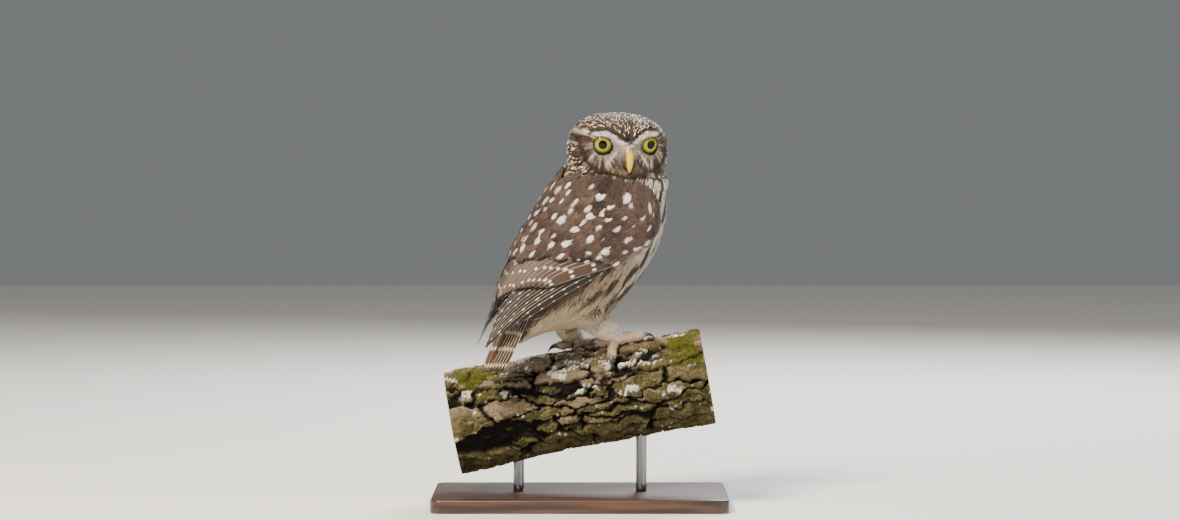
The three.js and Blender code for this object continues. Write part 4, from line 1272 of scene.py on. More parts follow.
# %% Tail feathers
draw = np.random.default_rng(31)
TAIL_COUNT = 6
for hand, side_name in SIDES:
    number = np.arange(TAIL_COUNT)
    t = np.linspace(0, 1, 16)
    tip = 191 - 0.9 * number
    aft = 122 + (tip[:, None] - 122) * t
    spread = table(TAIL, aft)[2]
    side = hand * spread * (0.14 + 0.56 * number[:, None] / (TAIL_COUNT - 1))
    depth = 0.86 * (number[:, None] + (0 if hand > 0 else 0.5)) + 0 * aft
    spines = tail_point(aft, side, depth)
    outs = unit(tail_point(aft, side, depth - 1) - spines)
    bake = atlas("tail", 0.5 + side[:, 0] / 40, (aft[:, 0] - 110) / 90 + 0.3)
    look = feather_look(
        bake, rgb("#4d3727"), rgb("#ddc7a8"), (0.52, 0.6, 0.26, 0.12), draw, 0.16, 0.45, 5, 1.0, 0.75
    )
    made = make_feathers(
        f"tail_feathers_{side_name}", flight_web, spines, outs, np.full(TAIL_COUNT, 5.2),
        [0.6, 0.8, 0.95, 1, 1, 0.95, 0.8, 0.3], 7, look, draw, camber=0.06,
    )
    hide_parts("tail")

# %% [markdown]
# ## Breast, belly and neck
# Body feathers are soft: short on the breast, longer and fluffier towards the thighs. They are
# spread by the golden angle, which leaves no rows that the eye could pick out.

# %% Body feathers
UNDERLAYER_ROOTS, BARB_ROOTS, NECK_ROOTS = 5200, 20500, 6000


def torso_roots(count, low, high):
    """Places spread evenly over the torso between two distances aft, by the golden angle."""
    lines = np.linspace(low, high, 400)
    _, top, belly, half = table(TORSO, lines)
    area = np.cumsum((top - belly) / 2 + half)
    number = np.arange(count)
    aft = np.interp((number + 0.5) / count, area / area[-1], lines)
    angle = number * GOLDEN
    _, top, belly, half = table(TORSO, aft)
    back = (top + belly) / 2 + (top - belly) / 2 * np.cos(angle)
    return from_body(aft, back, half * np.sin(angle))


def under_wing(places):
    """True where the folded wing hides the body."""
    aft, back, side = to_body(places)
    _, top, low, half, upper, lower = table(WING, aft)
    angle = np.degrees(np.arctan2(np.abs(side) / half, (back - (top + low) / 2) / (top - low) * 2))
    return (aft > 26) & (angle < lower - 16) & (aft < 140)


draw = np.random.default_rng(41)
roots, outs = settle(torso_roots(UNDERLAYER_ROOTS, -10, 152), -0.2, 3)
keep = ~under_wing(roots) & (head_distance(roots) > 3) & (ruff_distance(roots) > -1)
roots, outs = roots[keep], outs[keep]
aft, back, side = to_body(roots)
ways = body_lie(roots, outs) + draw.normal(0, 0.07, roots.shape)
length = np.interp(aft, [0, 40, 90, 150], [9, 11, 14, 15]) * draw.uniform(0.85, 1.15, len(roots))
spines, feather_outs = walk(roots, ways, length, 5, [-2.6, -1.8, -1.2, -0.8, -0.6])
half = np.interp(aft, [0, 40, 90, 150], [2.2, 2.6, 2.9, 2.6]) * draw.uniform(0.8, 1.2, len(roots))
ground = ground_colour(spines[:, 4])
look = feather_look(unwrap_body(roots), ground, WHITE, (0, 0.6, 0.01, 0.01), draw, 0.06)
make_feathers(
    "body_underlayer", loose_barbs, spines, feather_outs, half, [0.5, 0.9, 1, 0.9, 0.4], 3, look,
    draw, ragged=0.4,
)

# %% [markdown]
# Over that underlayer lie many narrow tufts, the loose ends of barbs. They carry the streaks of the
# breast, because a streak drawn by thin tufts has the soft broken edge of a real one.

# %% Loose barbs over the body
draw = np.random.default_rng(43)
roots, outs = settle(torso_roots(BARB_ROOTS, -10, 154), 0, 3)
keep = ~under_wing(roots) & (head_distance(roots) > 3) & (ruff_distance(roots) > -1)
roots, outs = roots[keep], outs[keep]
aft, back, side = to_body(roots)
loose = np.interp(aft, [0, 60, 100, 150], [0.08, 0.1, 0.2, 0.2])[:, None]
ways = body_lie(roots, outs) + draw.normal(0, 1, roots.shape) * loose
length = np.interp(aft, [0, 40, 90, 150], [8, 11, 15, 17]) * draw.uniform(0.7, 1.2, len(roots))
spines, feather_outs = walk(roots, ways, length, 5, [-1.8, -0.6, 0, 0.3, 0.6])
spines = spines + feather_outs * draw.normal(0, 0.22, len(roots))[:, None, None]
half = draw.uniform(0.35, 0.65, len(roots))
ground = ground_colour(spines[:, 2]) * draw.uniform(0.86, 1.16, (len(roots), 1))
look = plain_look(unwrap_body(roots), ground, draw, 0.14)
make_lots(
    "body_barbs", 3, np.argsort(side), loose_barbs, spines, feather_outs, half,
    [0.6, 1, 1, 0.8, 0.2], 3, look, draw, ragged=0.5,
)

# %% [markdown]
# The neck is a ball of feathers between head and body, streaked with buff behind and mottled at the
# throat. Its feathers stand a little higher, so that they lap over those of the back.

# %% Neck feathers
draw = np.random.default_rng(42)
roots, outs = settle(RUFF_CENTRE + sphere_ways(NECK_ROOTS) * RUFF_RADII, 0, 4)
_, front, up = to_head(roots)
keep = (head_distance(roots) > 1.5) & (ruff_distance(roots) < 3) & ~under_wing(roots)
keep &= (front < 5) | (up < -15)
roots, outs = roots[keep], outs[keep]
count = len(roots)
ways = head_lie(roots, outs) + draw.normal(0, 0.1, roots.shape)
spines, feather_outs = walk(roots, ways, draw.uniform(8, 11, count), 6, [-2.0, -0.8, 0, 0.4, 0.8])
spines = spines + feather_outs * draw.normal(0, 0.25, count)[:, None, None]
aft, back, side = to_body(roots)
under = np.degrees(np.arctan2(np.abs(side), back))
breast = smooth(under, 70, 100)
ground = mixed(ground_colour(spines[:, 4]), rgb("#7d604a"), 0.35 * (1 - breast))
side, front, up = to_head(spines[:, 3])
throat = smooth(front, 2, 16) * smooth(np.abs(side), 26, 12)
ground = mixed(ground, mixed(rgb("#a5865f"), rgb("#5b4430"), draw.uniform(-0.3, 1, count)), 0.85 * throat)
size = np.where(draw.uniform(0, 1, count) < 0.6 - 0.4 * breast, draw.uniform(0.7, 1.4, count), 0.02)
spot = np.stack([draw.uniform(-0.2, 0.2, count), 0.74 + 0 * size, 0.5 * size, 0.24 * size], -1)
mark = mixed(rgb("#fdf3e4"), rgb("#cdb497"), draw.uniform(-0.3, 1, count))
look = feather_look(unwrap_body(roots), ground, mark, spot, draw, 0.12, 0.35, fringe=0.1)
make_feathers(
    "neck_feathers", contour_barbs, spines, feather_outs, draw.uniform(0.8, 1.4, count),
    [0.5, 0.9, 1, 0.9, 0.3], 3, look, draw, ragged=0.4,
)

# %% [markdown]
# ## Eyes
# Bright yellow eyes give the owl its stare. Each eyeball is turned about the way it looks, so that
# the angle from that way tells pupil, iris and dark rim apart. A clear coat stands for the wet
# cornea and takes the window-like highlights.

# %% Eyes
def ring_frame(way, up):
    """Two ways square to a way: the first as near to up as can be, the second across."""
    rise = unit(up - way * (way @ up))
    return rise, np.cross(way, rise)


eye_material, tree, shader = new_material(
    "glossy_wet_eye", "#cfc559", 0.35, Coat_Weight=0.6, Coat_Roughness=0.02, Coat_IOR=1.38,
    Specular_IOR_Level=0.0
)
polar = add_node(tree, "SeparateXYZ", {0: add_node(tree, "UVMap", {}, uv_map="vane")})
round_it = add_node(tree, "Attribute", {}, "Vector", attribute_name="round_it")
brow_side = add_node(tree, "SeparateXYZ", {0: round_it})
fibres = {"Vector": round_it, "Scale": 14, "Detail": 3, "Roughness": 0.55}
fibres = add_node(tree, "TexNoise", fibres)
outer = add_node(tree, "MapRange", {0: polar, 1: 22, 2: 43}, **SMOOTH)
iris = add_node(tree, "Mix", {0: outer, 6: "#aaa620", 7: "#696a12"}, 2, **COLOURS)
fibres = add_node(tree, "MapRange", {0: fibres, 1: 0.35, 2: 0.7, 3: 0, 4: 0.35}, **SMOOTH)
iris = add_node(tree, "Mix", {0: fibres, 6: iris, 7: "#6b620a"}, 2, **COLOURS)
# Painted shade: the iris darkens towards its top, standing for the shadow of the brow and the upper lid.
shadow = add_node(tree, "MapRange", {0: brow_side, 1: -0.1, 2: 1, 3: 0, 4: 0.6}, **SMOOTH)
iris = add_node(tree, "Mix", {0: shadow, 6: iris, 7: "#454a05"}, 2, **COLOURS)
black = (0.004, 0.0035, 0.003, 1)
past_pupil = add_node(tree, "MapRange", {0: polar, 1: 19.5, 2: 21}, **SMOOTH)
colour = add_node(tree, "Mix", {0: past_pupil, 6: black, 7: iris}, 2, **COLOURS)
past_iris = add_node(tree, "MapRange", {0: polar, 1: 38.5, 2: 41}, **SMOOTH)
dress(tree, shader, add_node(tree, "Mix", {0: past_iris, 6: colour, 7: black}, 2, **COLOURS))
lid_material, _, _ = new_material("smooth_dark_eyelid_skin", "#1a1512", 0.45)

# %% [markdown]
# The eyeball is a whole ball, because its side shows from other views. The section of the lids is a
# thin ring that rests on the ball and ends under the feathers.

# %% Eyeballs and lids
for hand, side_name in SIDES:
    way = eye_way(hand)
    rise, cross = ring_frame(way, np.array([0, 0, 1.0]))
    polar, turn = np.meshgrid(np.linspace(0.5, 179.5, 60), np.arange(64) * 2 * np.pi / 64, indexing="ij")
    level = np.cos(turn)[..., None] * rise + np.sin(turn)[..., None] * cross
    out = np.sin(np.radians(polar))[..., None] * level
    ball = eye_centre(hand) + EYE["radius"] * (out + np.cos(np.radians(polar))[..., None] * way)
    uv = np.stack([polar, turn / (2 * np.pi)], -1).reshape(-1, 2)
    points = HEAD + ball.reshape(-1, 3) @ HEAD_AXES
    quads = strip_quads(60, 64, True)
    clock = np.stack([np.cos(turn), np.sin(turn), 0 * turn], -1).reshape(-1, 3)
    made = make_piece(f"eye_{side_name}_ball", points, quads, eye_material, uv, round_it=clock)
    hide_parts(f"eye_{side_name}")

    turn = np.arange(96) * 2 * np.pi / 96
    edge = lid_edge(turn, hand)
    section = np.array(
        [[0, 9.66], [0.6, 9.95], [2.5, 10.15], [5, 10.1], [8, 9.8], [14, 9.3], [14, 8.9], [4, 9.3]]
    )
    polar = np.radians(edge + section[:, :1])
    out = np.sin(polar)[..., None] * (np.cos(turn)[:, None] * rise + np.sin(turn)[:, None] * cross)
    lid = eye_centre(hand) + section[:, 1:, None] * (out + np.cos(polar)[..., None] * way)
    count = len(section)
    quads = strip_quads(count + 1, 96, True) % (count * 96)
    points = HEAD + lid.reshape(-1, 3) @ HEAD_AXES
    make_piece(f"eyelid_{side_name}", points, quads, lid_material)

# %% [markdown]
# ## Bill
# The bill is horn over bone: a ridge line that leaves the face almost level and hooks down, with
# oval sections square to it. The cere at its base is softer and greyer than the tip.

# %% Bill
bill_material, tree, shader = new_material(
    "polished_horn_bill", "#d9bf7a", 0.32, Coat_Weight=0.25, Coat_Roughness=0.2
)
place = add_node(tree, "SeparateXYZ", {0: add_node(tree, "UVMap", {}, uv_map="vane")}, None)
# Painted light: the horn is paler along the top of the bill and darker down its sides and underneath,
# standing for light from above and shade below.
ridge = add_node(tree, "Attribute", {}, "Fac", attribute_name="ridge")
horn = add_node(tree, "Mix", {0: ridge, 6: "#66531a", 7: "#d8b62a"}, 2, **COLOURS)
past_cere = add_node(tree, "MapRange", {0: place[1], 1: 0.2, 2: 0.45}, **SMOOTH)
colour = add_node(tree, "Mix", {0: past_cere, 6: "#6b5c34", 7: horn}, 2, **COLOURS)
near_tip = add_node(tree, "MapRange", {0: place[1], 1: 0.8, 2: 1, 3: 0, 4: 0.6}, **SMOOTH)
dress(tree, shader, add_node(tree, "Mix", {0: near_tip, 6: colour, 7: "#8e7440"}, 2, **COLOURS))


BILL_RINGS, BILL_SIDES = 26, 28


def bill_half(name, rows, node):
    """One half of the bill: oval rings square to its ridge line, closed at both ends."""
    number = np.linspace(0, 1, BILL_RINGS)
    lines = table(np.column_stack([np.linspace(0, 1, len(rows)), rows]), number)[1:]
    front, up, half, deep = lines
    way = unit(np.stack([np.gradient(front), np.gradient(up)], -1))
    angle = np.arange(BILL_SIDES) * 2 * np.pi / BILL_SIDES
    out = deep[:, None] * np.cos(angle)
    side = half[:, None] * np.sin(angle)
    points = from_head(side, front[:, None] - way[:, 1:] * out, up[:, None] + way[:, :1] * out)
    uv = np.stack(np.broadcast_arrays(angle / (2 * np.pi), number[:, None]), -1).reshape(-1, 2)
    # Share of painted light round each ring: full on the top of the bill, none on its sides and underneath.
    ridge = smooth(np.cos(angle), -0.1, 0.95)[:, None]
    ridge = np.broadcast_to(ridge, (BILL_RINGS, BILL_SIDES, 3)).reshape(-1, 3)
    quads = strip_quads(BILL_RINGS, BILL_SIDES, True)[:, ::-1]
    made = make_piece(name, points.reshape(-1, 3), quads, bill_material, uv, ridge=ridge)
    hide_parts(node)


bill_half("bill_upper_horn", BILL_UPPER, "bill_upper")
bill_half("bill_lower_horn", BILL_LOWER, "bill_lower")

# %% [markdown]
# ## Feet
# Each foot grips the bark with four toes, one of them turned back. A toe is a short thick tube
# with a pad under each joint, and bare of feathers but for sparse bristles. The claws are dark
# horn, curved like hooks, and their points press on the bark.

# %% Branch shape
PERCH = {"length": 194, "radius": 37, "taper": 0.012, "slope": math.radians(10.2), "height": 79.4}
PERCH_ALONG = np.array([math.cos(PERCH["slope"]), 0, math.sin(PERCH["slope"])])
PERCH_UP = np.array([-math.sin(PERCH["slope"]), 0, math.cos(PERCH["slope"])])
PERCH_ACROSS = np.array([0, 1.0, 0])


def perch_point(along, turn, height=0.0):
    """Places on the branch from the distance along it and the angle round it from its top."""
    lumps = (
        0.8 * np.sin(3 * turn + 0.9 + along / 38)
        + 0.6 * np.sin(5 * turn - along / 23)
        + 0.5 * np.sin(2 * turn + along / 17)
    )
    reach = np.asarray(PERCH["radius"] - PERCH["taper"] * along + lumps + height)[..., None]
    middle = np.array([0, 0, PERCH["height"]]) + np.asarray(along)[..., None] * PERCH_ALONG
    turn = np.asarray(turn)[..., None]
    return middle + reach * (np.cos(turn) * PERCH_UP + np.sin(turn) * PERCH_ACROSS)


# %% [markdown]
# The feet are written as places on the branch: distance along it and degrees round it. So the toes
# hug the bark whatever its shape, which points in space would not do by themselves.

# %% Toes
# The ankle, then each toe from its root to its claw's root and the claw's tip. Toe 1 points back.
FEET = {
    "right": {
        "ankle": [35.3, -19.5],
        "toes": [
            [[33, -18], [26.5, -15], [20.5, -12], [12.5, -12]],
            [[35, -17], [42, -3], [46, 9], [50, 21]],
            [[36, -20], [46, -19], [55.5, -19], [63, -20]],
            [[33, -24], [30.5, -36], [29.2, -46], [27.8, -57]],
        ],
    },
    "left": {
        "ankle": [6.4, 19.5],
        "toes": [
            [[5, 17], [-2, 13], [-9.5, 10], [-17.5, 8]],
            [[5.5, 14], [3.5, 4], [2.2, -3], [1.6, -15]],
            [[8, 19], [16, 20], [24, 21], [31, 23]],
            [[6.5, 24], [8, 36], [9, 46], [9.5, 57]],
        ],
    },
}
ANKLE = 5
TOE_RADII = [3.5, 3.3, 3.1, 3.3, 2.6]
CLAW_RADII = [2.1, 2.0, 1.6, 1.15, 0.65, 0.2]
TOE_HEIGHT = 3.8
TOE_RINGS, TOE_SIDES = 34, 28


def on_perch(place, height=0.0):
    """A place in the world from [distance along the branch, degrees round it]."""
    return perch_point(np.array(place[0], float), np.radians(place[1]), height)


def tube_frame(path, up):
    """Ways along a path, and two ways square to it, the first of them as near up as can be."""
    way = unit(np.gradient(path, axis=0))
    rise = unit(up - np.sum(way * up, -1, keepdims=True) * way)
    return way, rise, np.cross(way, rise)


def tube_points(path, radii, sides, up, squash=None):
    """Rings of points round a path. squash gives a share of the radius for each angle."""
    _, rise, cross = tube_frame(path, up)
    angle = np.arange(sides) * 2 * np.pi / sides
    reach = np.asarray(radii)[:, None] * (1 if squash is None else squash)
    reach = np.broadcast_to(reach, (len(path), sides))[..., None]
    out = np.cos(angle)[None, :, None] * rise[:, None] + np.sin(angle)[None, :, None] * cross[:, None]
    return path[:, None] + reach * out


def toe_path(toe, count):
    """Middle line of a toe: a curve through its three places over the bark."""
    spots = np.array([on_perch(place, TOE_HEIGHT) for place in toe[:3]])
    rows = np.column_stack([[0, 0.5, 1], spots])
    return np.stack(table(rows, np.linspace(0, 1, count))[1:], -1)


toe_material, tree, shader = new_material("leathery_toe_skin", "#a4876a", 0.7)
object_place = add_node(tree, "TexCoord", {}, "Object")
grain = {"Vector": object_place, "Scale": 1400, "Detail": 3, "Roughness": 0.55}
grain = add_node(tree, "TexNoise", grain)
pale = add_node(tree, "MapRange", {0: grain, 1: 0.35, 2: 0.65}, **SMOOTH)
colour = add_node(tree, "Mix", {0: pale, 6: "#8a6d52", 7: "#c0a586"}, 2, **COLOURS)
dress(tree, shader, colour, grain, 0.3)

# %% [markdown]
# Claws are dense dark horn with a dull polish, paler where they leave the toe. Toes and claws are
# both lofts: rings of points along a curved middle line.

# %% Claws and shanks
claw_material, tree, shader = new_material("dull_polished_dark_horn", "#2b2522", 0.34, Coat_Weight=0.2)
place = add_node(tree, "SeparateXYZ", {0: add_node(tree, "UVMap", {}, uv_map="vane")}, None)
past_root = add_node(tree, "MapRange", {0: place[1], 1: 0.1, 2: 0.6}, **SMOOTH)
dress(tree, shader, add_node(tree, "Mix", {0: past_root, 6: "#6b6152", 7: "#1d1917"}, 2, **COLOURS))


def loft_piece(name, points, material, along=None):
    """A piece from rings of points, closed by drawing its end rings in to their middles."""
    ends = [points[:1].mean(1, keepdims=True), points[-1:].mean(1, keepdims=True)]
    tips = [end + (ring - end) * 0.001 for end, ring in zip(ends, (points[:1], points[-1:]))]
    rings = np.concatenate([tips[0], points, tips[1]])
    count, sides = rings.shape[:2]
    lines = np.broadcast_to(np.linspace(0, 1, count)[:, None], (count, sides))
    turns = np.broadcast_to(np.arange(sides) / sides, (count, sides))
    uv = np.stack([turns, lines], -1).reshape(-1, 2)
    quads = strip_quads(count, sides, True)[:, ::-1]
    return make_piece(name, rings.reshape(-1, 3), quads, material, uv)


SHANKS = {}
bristle_roots, bristle_outs, bristle_ways, bristle_bakes = [], [], [], []
for side_name, foot in FEET.items():
    parts = []
    for number, toe in enumerate(foot["toes"]):
        path = toe_path(toe, TOE_RINGS)
        up = unit(on_perch(toe[1], 1) - on_perch(toe[1], 0))
        t = np.linspace(0, 1, TOE_RINGS)
        # Three pads: the tube swells below and is pinched between the joints.
        pads = np.abs(np.sin(3.2 * np.pi * t + 0.4))
        radii = profile(TOE_RADII, TOE_RINGS) * (0.9 + 0.1 * pads)
        radii[-3:] *= [0.96, 0.85, 0.6]
        angle = np.arange(TOE_SIDES) * 2 * np.pi / TOE_SIDES
        pad = 1 + 0.1 * pads[:, None] * smooth(-np.cos(angle), 0.2, 0.9)
        scutes = 1 + 0.025 * np.sin(2 * np.pi * 15 * t)[:, None] * smooth(np.cos(angle), 0.1, 0.8)
        points = tube_points(path, radii, TOE_SIDES, up, pad * scutes)
        made = loft_piece(f"toe_{side_name}_{number + 1}", points, toe_material)
        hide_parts(f"foot_{side_name}")
        way, rise, cross = tube_frame(path, up)
        for turn in np.radians([-75, -45, -15, 15, 45, 75]):
            out = np.cos(turn) * rise + np.sin(turn) * cross
            bristle_roots.append((path + radii[:, None] * out)[2:-2])
            bristle_outs.append(out[2:-2])
            bristle_ways.append(way[2:-2])
            share = (number + 0.5 + turn / 3) / 4 + 0 * t
            bristle_bakes.append(atlas(f"leg_{side_name}", share, 0.1 * t)[2:-2])

        start, before = path[-1], path[-2]
        way = unit(start - before)
        tip_up = unit(on_perch(toe[2], 1) - on_perch(toe[2], 0))
        tip = on_perch(toe[3], 0.6)
        bend = start + way * 4.8 + tip_up * 2.4
        s = np.linspace(0, 1, 26)[:, None]
        curve = (1 - s) ** 2 * (start - way * 1.5) + 2 * s * (1 - s) * bend + s**2 * tip
        points = tube_points(curve, profile(CLAW_RADII, 26), 20, tip_up)
        made = loft_piece(f"claw_{side_name}_{number + 1}_horn", points, claw_material)
        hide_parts(f"claw_{side_name}_{number + 1}")

    rows = LEGS[side_name]
    ball = on_perch(foot["ankle"], ANKLE + 0.3)
    knee, heel = rows[-2, :3], rows[-1, :3]
    shank = np.array([knee, heel, (heel + ball) / 2, ball, ball - 2 * unit(heel - ball)])
    line = np.column_stack([np.linspace(0, 1, 5), shank, [6.0, 5.2, 4.5, 4.7, 3.0]])
    values = table(line, np.linspace(0, 1, 24))
    points = tube_points(np.stack(values[1:4], -1), values[4], TOE_SIDES, PERCH_ACROSS)
    made = loft_piece(f"shank_{side_name}", points, toe_material)
    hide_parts(f"foot_{side_name}")
    SHANKS[side_name] = line[:4, 1:]

# %% [markdown]
# ## Feathered legs
# A little owl's legs are feathered down to the toes: fluffy cream trousers on the thighs, then
# short close feathers on the shank, and only bristles on the toes.

# %% Leg feathers
LEG_ROOTS = 3200


def leg_coat(places):
    """Distance to the coat with both shanks."""
    made = flesh(places)
    for rows in SHANKS.values():
        made = blend(made, leg_distance(places, rows), 3)
    return made


for hand, side_name in SIDES:
    draw = np.random.default_rng(71 if hand > 0 else 72)
    chain = np.concatenate([LEGS[side_name][:-1], SHANKS[side_name][1:]])
    knots = np.concatenate([[0], np.cumsum(np.linalg.norm(np.diff(chain[:, :3], axis=0), axis=1))])
    rows = np.column_stack([knots, chain])
    number = np.arange(LEG_ROOTS)
    where = (number + 0.5) / len(number) * knots[-1]
    values = table(rows, where)
    way = unit(np.gradient(np.stack(values[1:4], -1), axis=0))
    rise = unit(np.cross(way, [0, 1.0, 0.2]))
    cross = np.cross(way, rise)
    turn = number * GOLDEN
    out = np.cos(turn)[:, None] * rise + np.sin(turn)[:, None] * cross
    places = np.stack(values[1:4], -1) + out * values[4][:, None]
    roots, outs = settle(places, 0, 4, leg_coat)
    keep = (torso_distance(roots) > 0.5) & (head_distance(roots) > 5)
    roots, outs, way, where = roots[keep], outs[keep], way[keep], where[keep]
    count = len(roots)
    low = where / knots[-1]
    ways = along_surface(way + [0, 0, -0.3], outs) + draw.normal(0, 0.08, roots.shape)
    length = np.interp(low, [0, 0.4, 0.7, 1], [14, 10, 5.5, 3.5]) * draw.uniform(0.75, 1.2, count)
    rise_to = np.interp(low, [0, 0.5, 1], [0.5, 0.4, 0.2])
    spines, feather_outs = walk(roots, ways, length, 5, [-1.0, -0.2, 0.1, 0.3, 0.5], leg_coat)
    lift = np.linspace(0, 1, 5) ** 2 * rise_to[:, None] + draw.normal(0, 0.1, (count, 1))
    spines = spines + feather_outs * lift[..., None]
    pale = draw.uniform(0, 1, count)
    ground = mixed(rgb("#d8c6a8"), rgb("#f6eddc"), pale)
    ground = mixed(ground_colour(spines[:, 2]), ground, smooth(low, 0.15, 0.55))
    bake = atlas(f"leg_{side_name}", (turn[keep] / (2 * np.pi)) % 1, 1 - low)
    look = plain_look(bake, ground, draw, 0.12)
    made = make_feathers(
        f"leg_feathers_{side_name}", loose_barbs, spines, feather_outs,
        np.interp(low, [0, 1], [0.65, 0.38]) * draw.uniform(0.7, 1.2, count),
        [0.6, 1, 1, 0.7, 0.15], 3, look, draw, ragged=0.4,
    )
    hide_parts(f"leg_{side_name}")

# %% [markdown]
# Sparse pale bristles stand on the upper side of each toe, two at each root, leaning to the claw.

# %% Toe bristles
draw = np.random.default_rng(73)
roots = np.concatenate(bristle_roots)
outs, ways = np.concatenate(bristle_outs), np.concatenate(bristle_ways)
copies = np.repeat(np.arange(len(roots)), 2)
roots, outs, ways = roots[copies] + draw.normal(0, 0.3, (len(copies), 3)), outs[copies], ways[copies]
count = len(roots)
lean = unit(ways + 0.3 * outs + draw.normal(0, 0.2, roots.shape))
length = draw.uniform(1.6, 3.2, count)
t = np.linspace(0, 1, 4)[:, None]
spines = roots[:, None] - 0.3 * outs[:, None] + lean[:, None] * length[:, None, None] * t
ground = mixed(rgb("#a98e70"), rgb("#efe3cf"), draw.uniform(0, 1, count))
bake = np.concatenate(bristle_bakes)[copies]
look = plain_look(bake, ground, draw, 0.15)
make_feathers(
    "toe_bristles", loose_barbs, spines, np.broadcast_to(outs[:, None], spines.shape),
    draw.uniform(0.1, 0.2, count), [0.8, 1, 0.7, 0.1], 3, look, draw, thick=0.08,
)

# %% [markdown]
# ## Branch
# The branch is a short cut length of an old limb. Its bark is broken into long rough plates by
# cracks that run with the grain. A plate is the set of places nearest to one random seed, and a
# crack follows the line where two seeds are equally near. The places are first bent by waves of
# several lengths, which makes the edges ragged, and each plate gets a level of its own.

# %% Bark plates
def plates(along, turn, seeds, stretch, seed):
    """How far a place lies inside its bark plate, in mm, and a random share for each plate."""
    draw = np.random.default_rng(seed)
    seed_along = draw.uniform(-PERCH["length"] / 2, PERCH["length"] / 2, seeds)
    seed_turn = draw.uniform(-np.pi, np.pi, seeds)
    nearest = np.full(along.shape, 1e9)
    second = np.full(along.shape, 1e9)
    owner = np.zeros(along.shape, int)
    for number in range(seeds):
        apart = (turn - seed_turn[number] + np.pi) % (2 * np.pi) - np.pi
        far = np.hypot((along - seed_along[number]) / stretch, PERCH["radius"] * apart)
        closer = far < nearest
        second = np.where(closer, nearest, np.minimum(second, far))
        nearest = np.where(closer, far, nearest)
        owner = np.where(closer, number, owner)
    return second - nearest, draw.uniform(0, 1, seeds)[owner]


# %% [markdown]
# The relief adds up large plates, small plates inside them and a fine grain, and is cut off at the
# top so that the bark stays under the toes. Lichen is pale and flat and likes the upper side near
# the feet. Moss is green and raised, and grows at both ends.

# %% Bark relief
half_length = PERCH["length"] / 2
BARK_ROWS, BARK_SIDES = 330, 296
along, turn = np.meshgrid(
    np.linspace(-half_length, half_length, BARK_ROWS), np.arange(BARK_SIDES) * 2 * np.pi / BARK_SIDES,
    indexing="ij",
)
around = perch_point(along, turn)
bent = 4 * waves(around, 34, 61) + 2 * waves(around, 11, 62) + 1.1 * waves(around, 4.5, 72)
turned = 3 * waves(around, 24, 63) + 1.6 * waves(around, 9, 64) + 0.9 * waves(around, 3.6, 73)
bent_along, bent_turn = along + bent, turn + turned / PERCH["radius"]
inside, level = plates(bent_along, bent_turn, 150, 3.0, 65)
inner, inner_level = plates(bent_along, bent_turn, 900, 2.2, 66)
grain = waves(np.stack([bent_along / 6, bent_turn * PERCH["radius"], 0 * along], -1), 3.2, 74)
relief = -4.2 * (1 - smooth(inside, 0, 2.2)) + 1.6 * (level - 0.7)
relief += -1.3 * (1 - smooth(inner, 0, 0.9)) + 0.9 * (inner_level - 0.6)
relief += 0.35 * grain + 0.25 * waves(around, 2.2, 67)
relief = np.minimum(relief, 0.4)
# Painted shade: the colour goes nearly black where the relief sinks into a crack.
painted_crack_shade = smooth(relief, -1.4, -3.8)

# Patches of lichen by the feet: distance along the branch, degrees round it, size.
LICHEN_PATCHES = ((34, -52, 13), (-13, -48, 11), (52, -40, 7), (10, -30, 7), (38, 50, 10))
top = np.cos(turn)
turn_to_middle = (turn + np.pi) % (2 * np.pi) - np.pi
lichen = smooth(waves(around, 19, 68) + 0.6 * waves(around, 5, 69) + 0.4 * top, 0.75, 1.1)
for place_along, place_turn, size in LICHEN_PATCHES:
    apart = np.hypot(along - place_along, PERCH["radius"] * (turn_to_middle - np.radians(place_turn)))
    patch = smooth(apart, size, 0.35 * size) + 0.45 * waves(around, 6, 69) + 0.3 * waves(around, 2.6, 75)
    lichen = np.maximum(lichen, smooth(patch, 0.62, 0.85))
lichen *= smooth(relief, -2.6, -1.2)
near_right = smooth(np.abs(along - 82), 24, 8) * smooth(top, -0.2, 0.6)
near_left = smooth(np.abs(along + 72), 34, 8) * smooth(top, 0.2, 0.8)
moss = np.maximum(near_right, near_left) + 0.45 * waves(around, 18, 70) + 0.35 * waves(around, 6, 71)
moss = smooth(moss, 0.7, 1.05)
relief += 0.5 * moss * smooth(relief, -3, -1)
bark_points = perch_point(along, turn, relief)

# %% [markdown]
# Weathered oak bark is matt: dark olive, with grey brown plates where they stand high and towards the top
# of the branch, and lichen and moss over both. Its cracks and the pits of its fine relief are darkened
# as painted shade. Where each of them lies comes from the mesh, so relief and colour agree, and a fine
# noise breaks up their edges.

# %% Bark object
bark_material, tree, shader = new_material(
    "rough_weathered_oak_bark", "#665c38", 0.95, Specular_IOR_Level=0.2
)
cover = add_node(tree, "Attribute", {}, "Color", attribute_name="cover")
cover = add_node(tree, "SeparateColor", {0: cover}, None)
plate = add_node(tree, "Attribute", {}, "Color", attribute_name="plate")
place = add_node(tree, "TexCoord", {}, "Object")
fine = add_node(tree, "TexNoise", {"Vector": place, "Scale": 900, "Detail": 5, "Roughness": 0.55})
broad = add_node(tree, "TexNoise", {"Vector": place, "Scale": 120, "Detail": 4, "Roughness": 0.55})
broad = add_node(tree, "MapRange", {0: broad, 1: 0.35, 2: 0.65}, **SMOOTH)
colour = add_node(tree, "Mix", {0: broad, 6: "#433d20", 7: "#6c6440"}, 2, **COLOURS)
# Painted shade: the colour darkens where the fine relief is low, in its pits.
painted_pit_shade = add_node(tree, "MapRange", {0: fine, 1: 0.35, 2: 0.65, 3: 0.55, 4: 0}, **SMOOTH)
pale = add_node(tree, "MapRange", {0: fine, 1: 0.38, 2: 0.5}, **SMOOTH)
pale = add_node(tree, "Math", {0: cover[1], 1: pale}, operation="MULTIPLY")
green = add_node(tree, "MapRange", {0: fine, 1: 0.2, 2: 0.45}, **SMOOTH)
green = add_node(tree, "Math", {0: cover[2], 1: green}, operation="MULTIPLY")
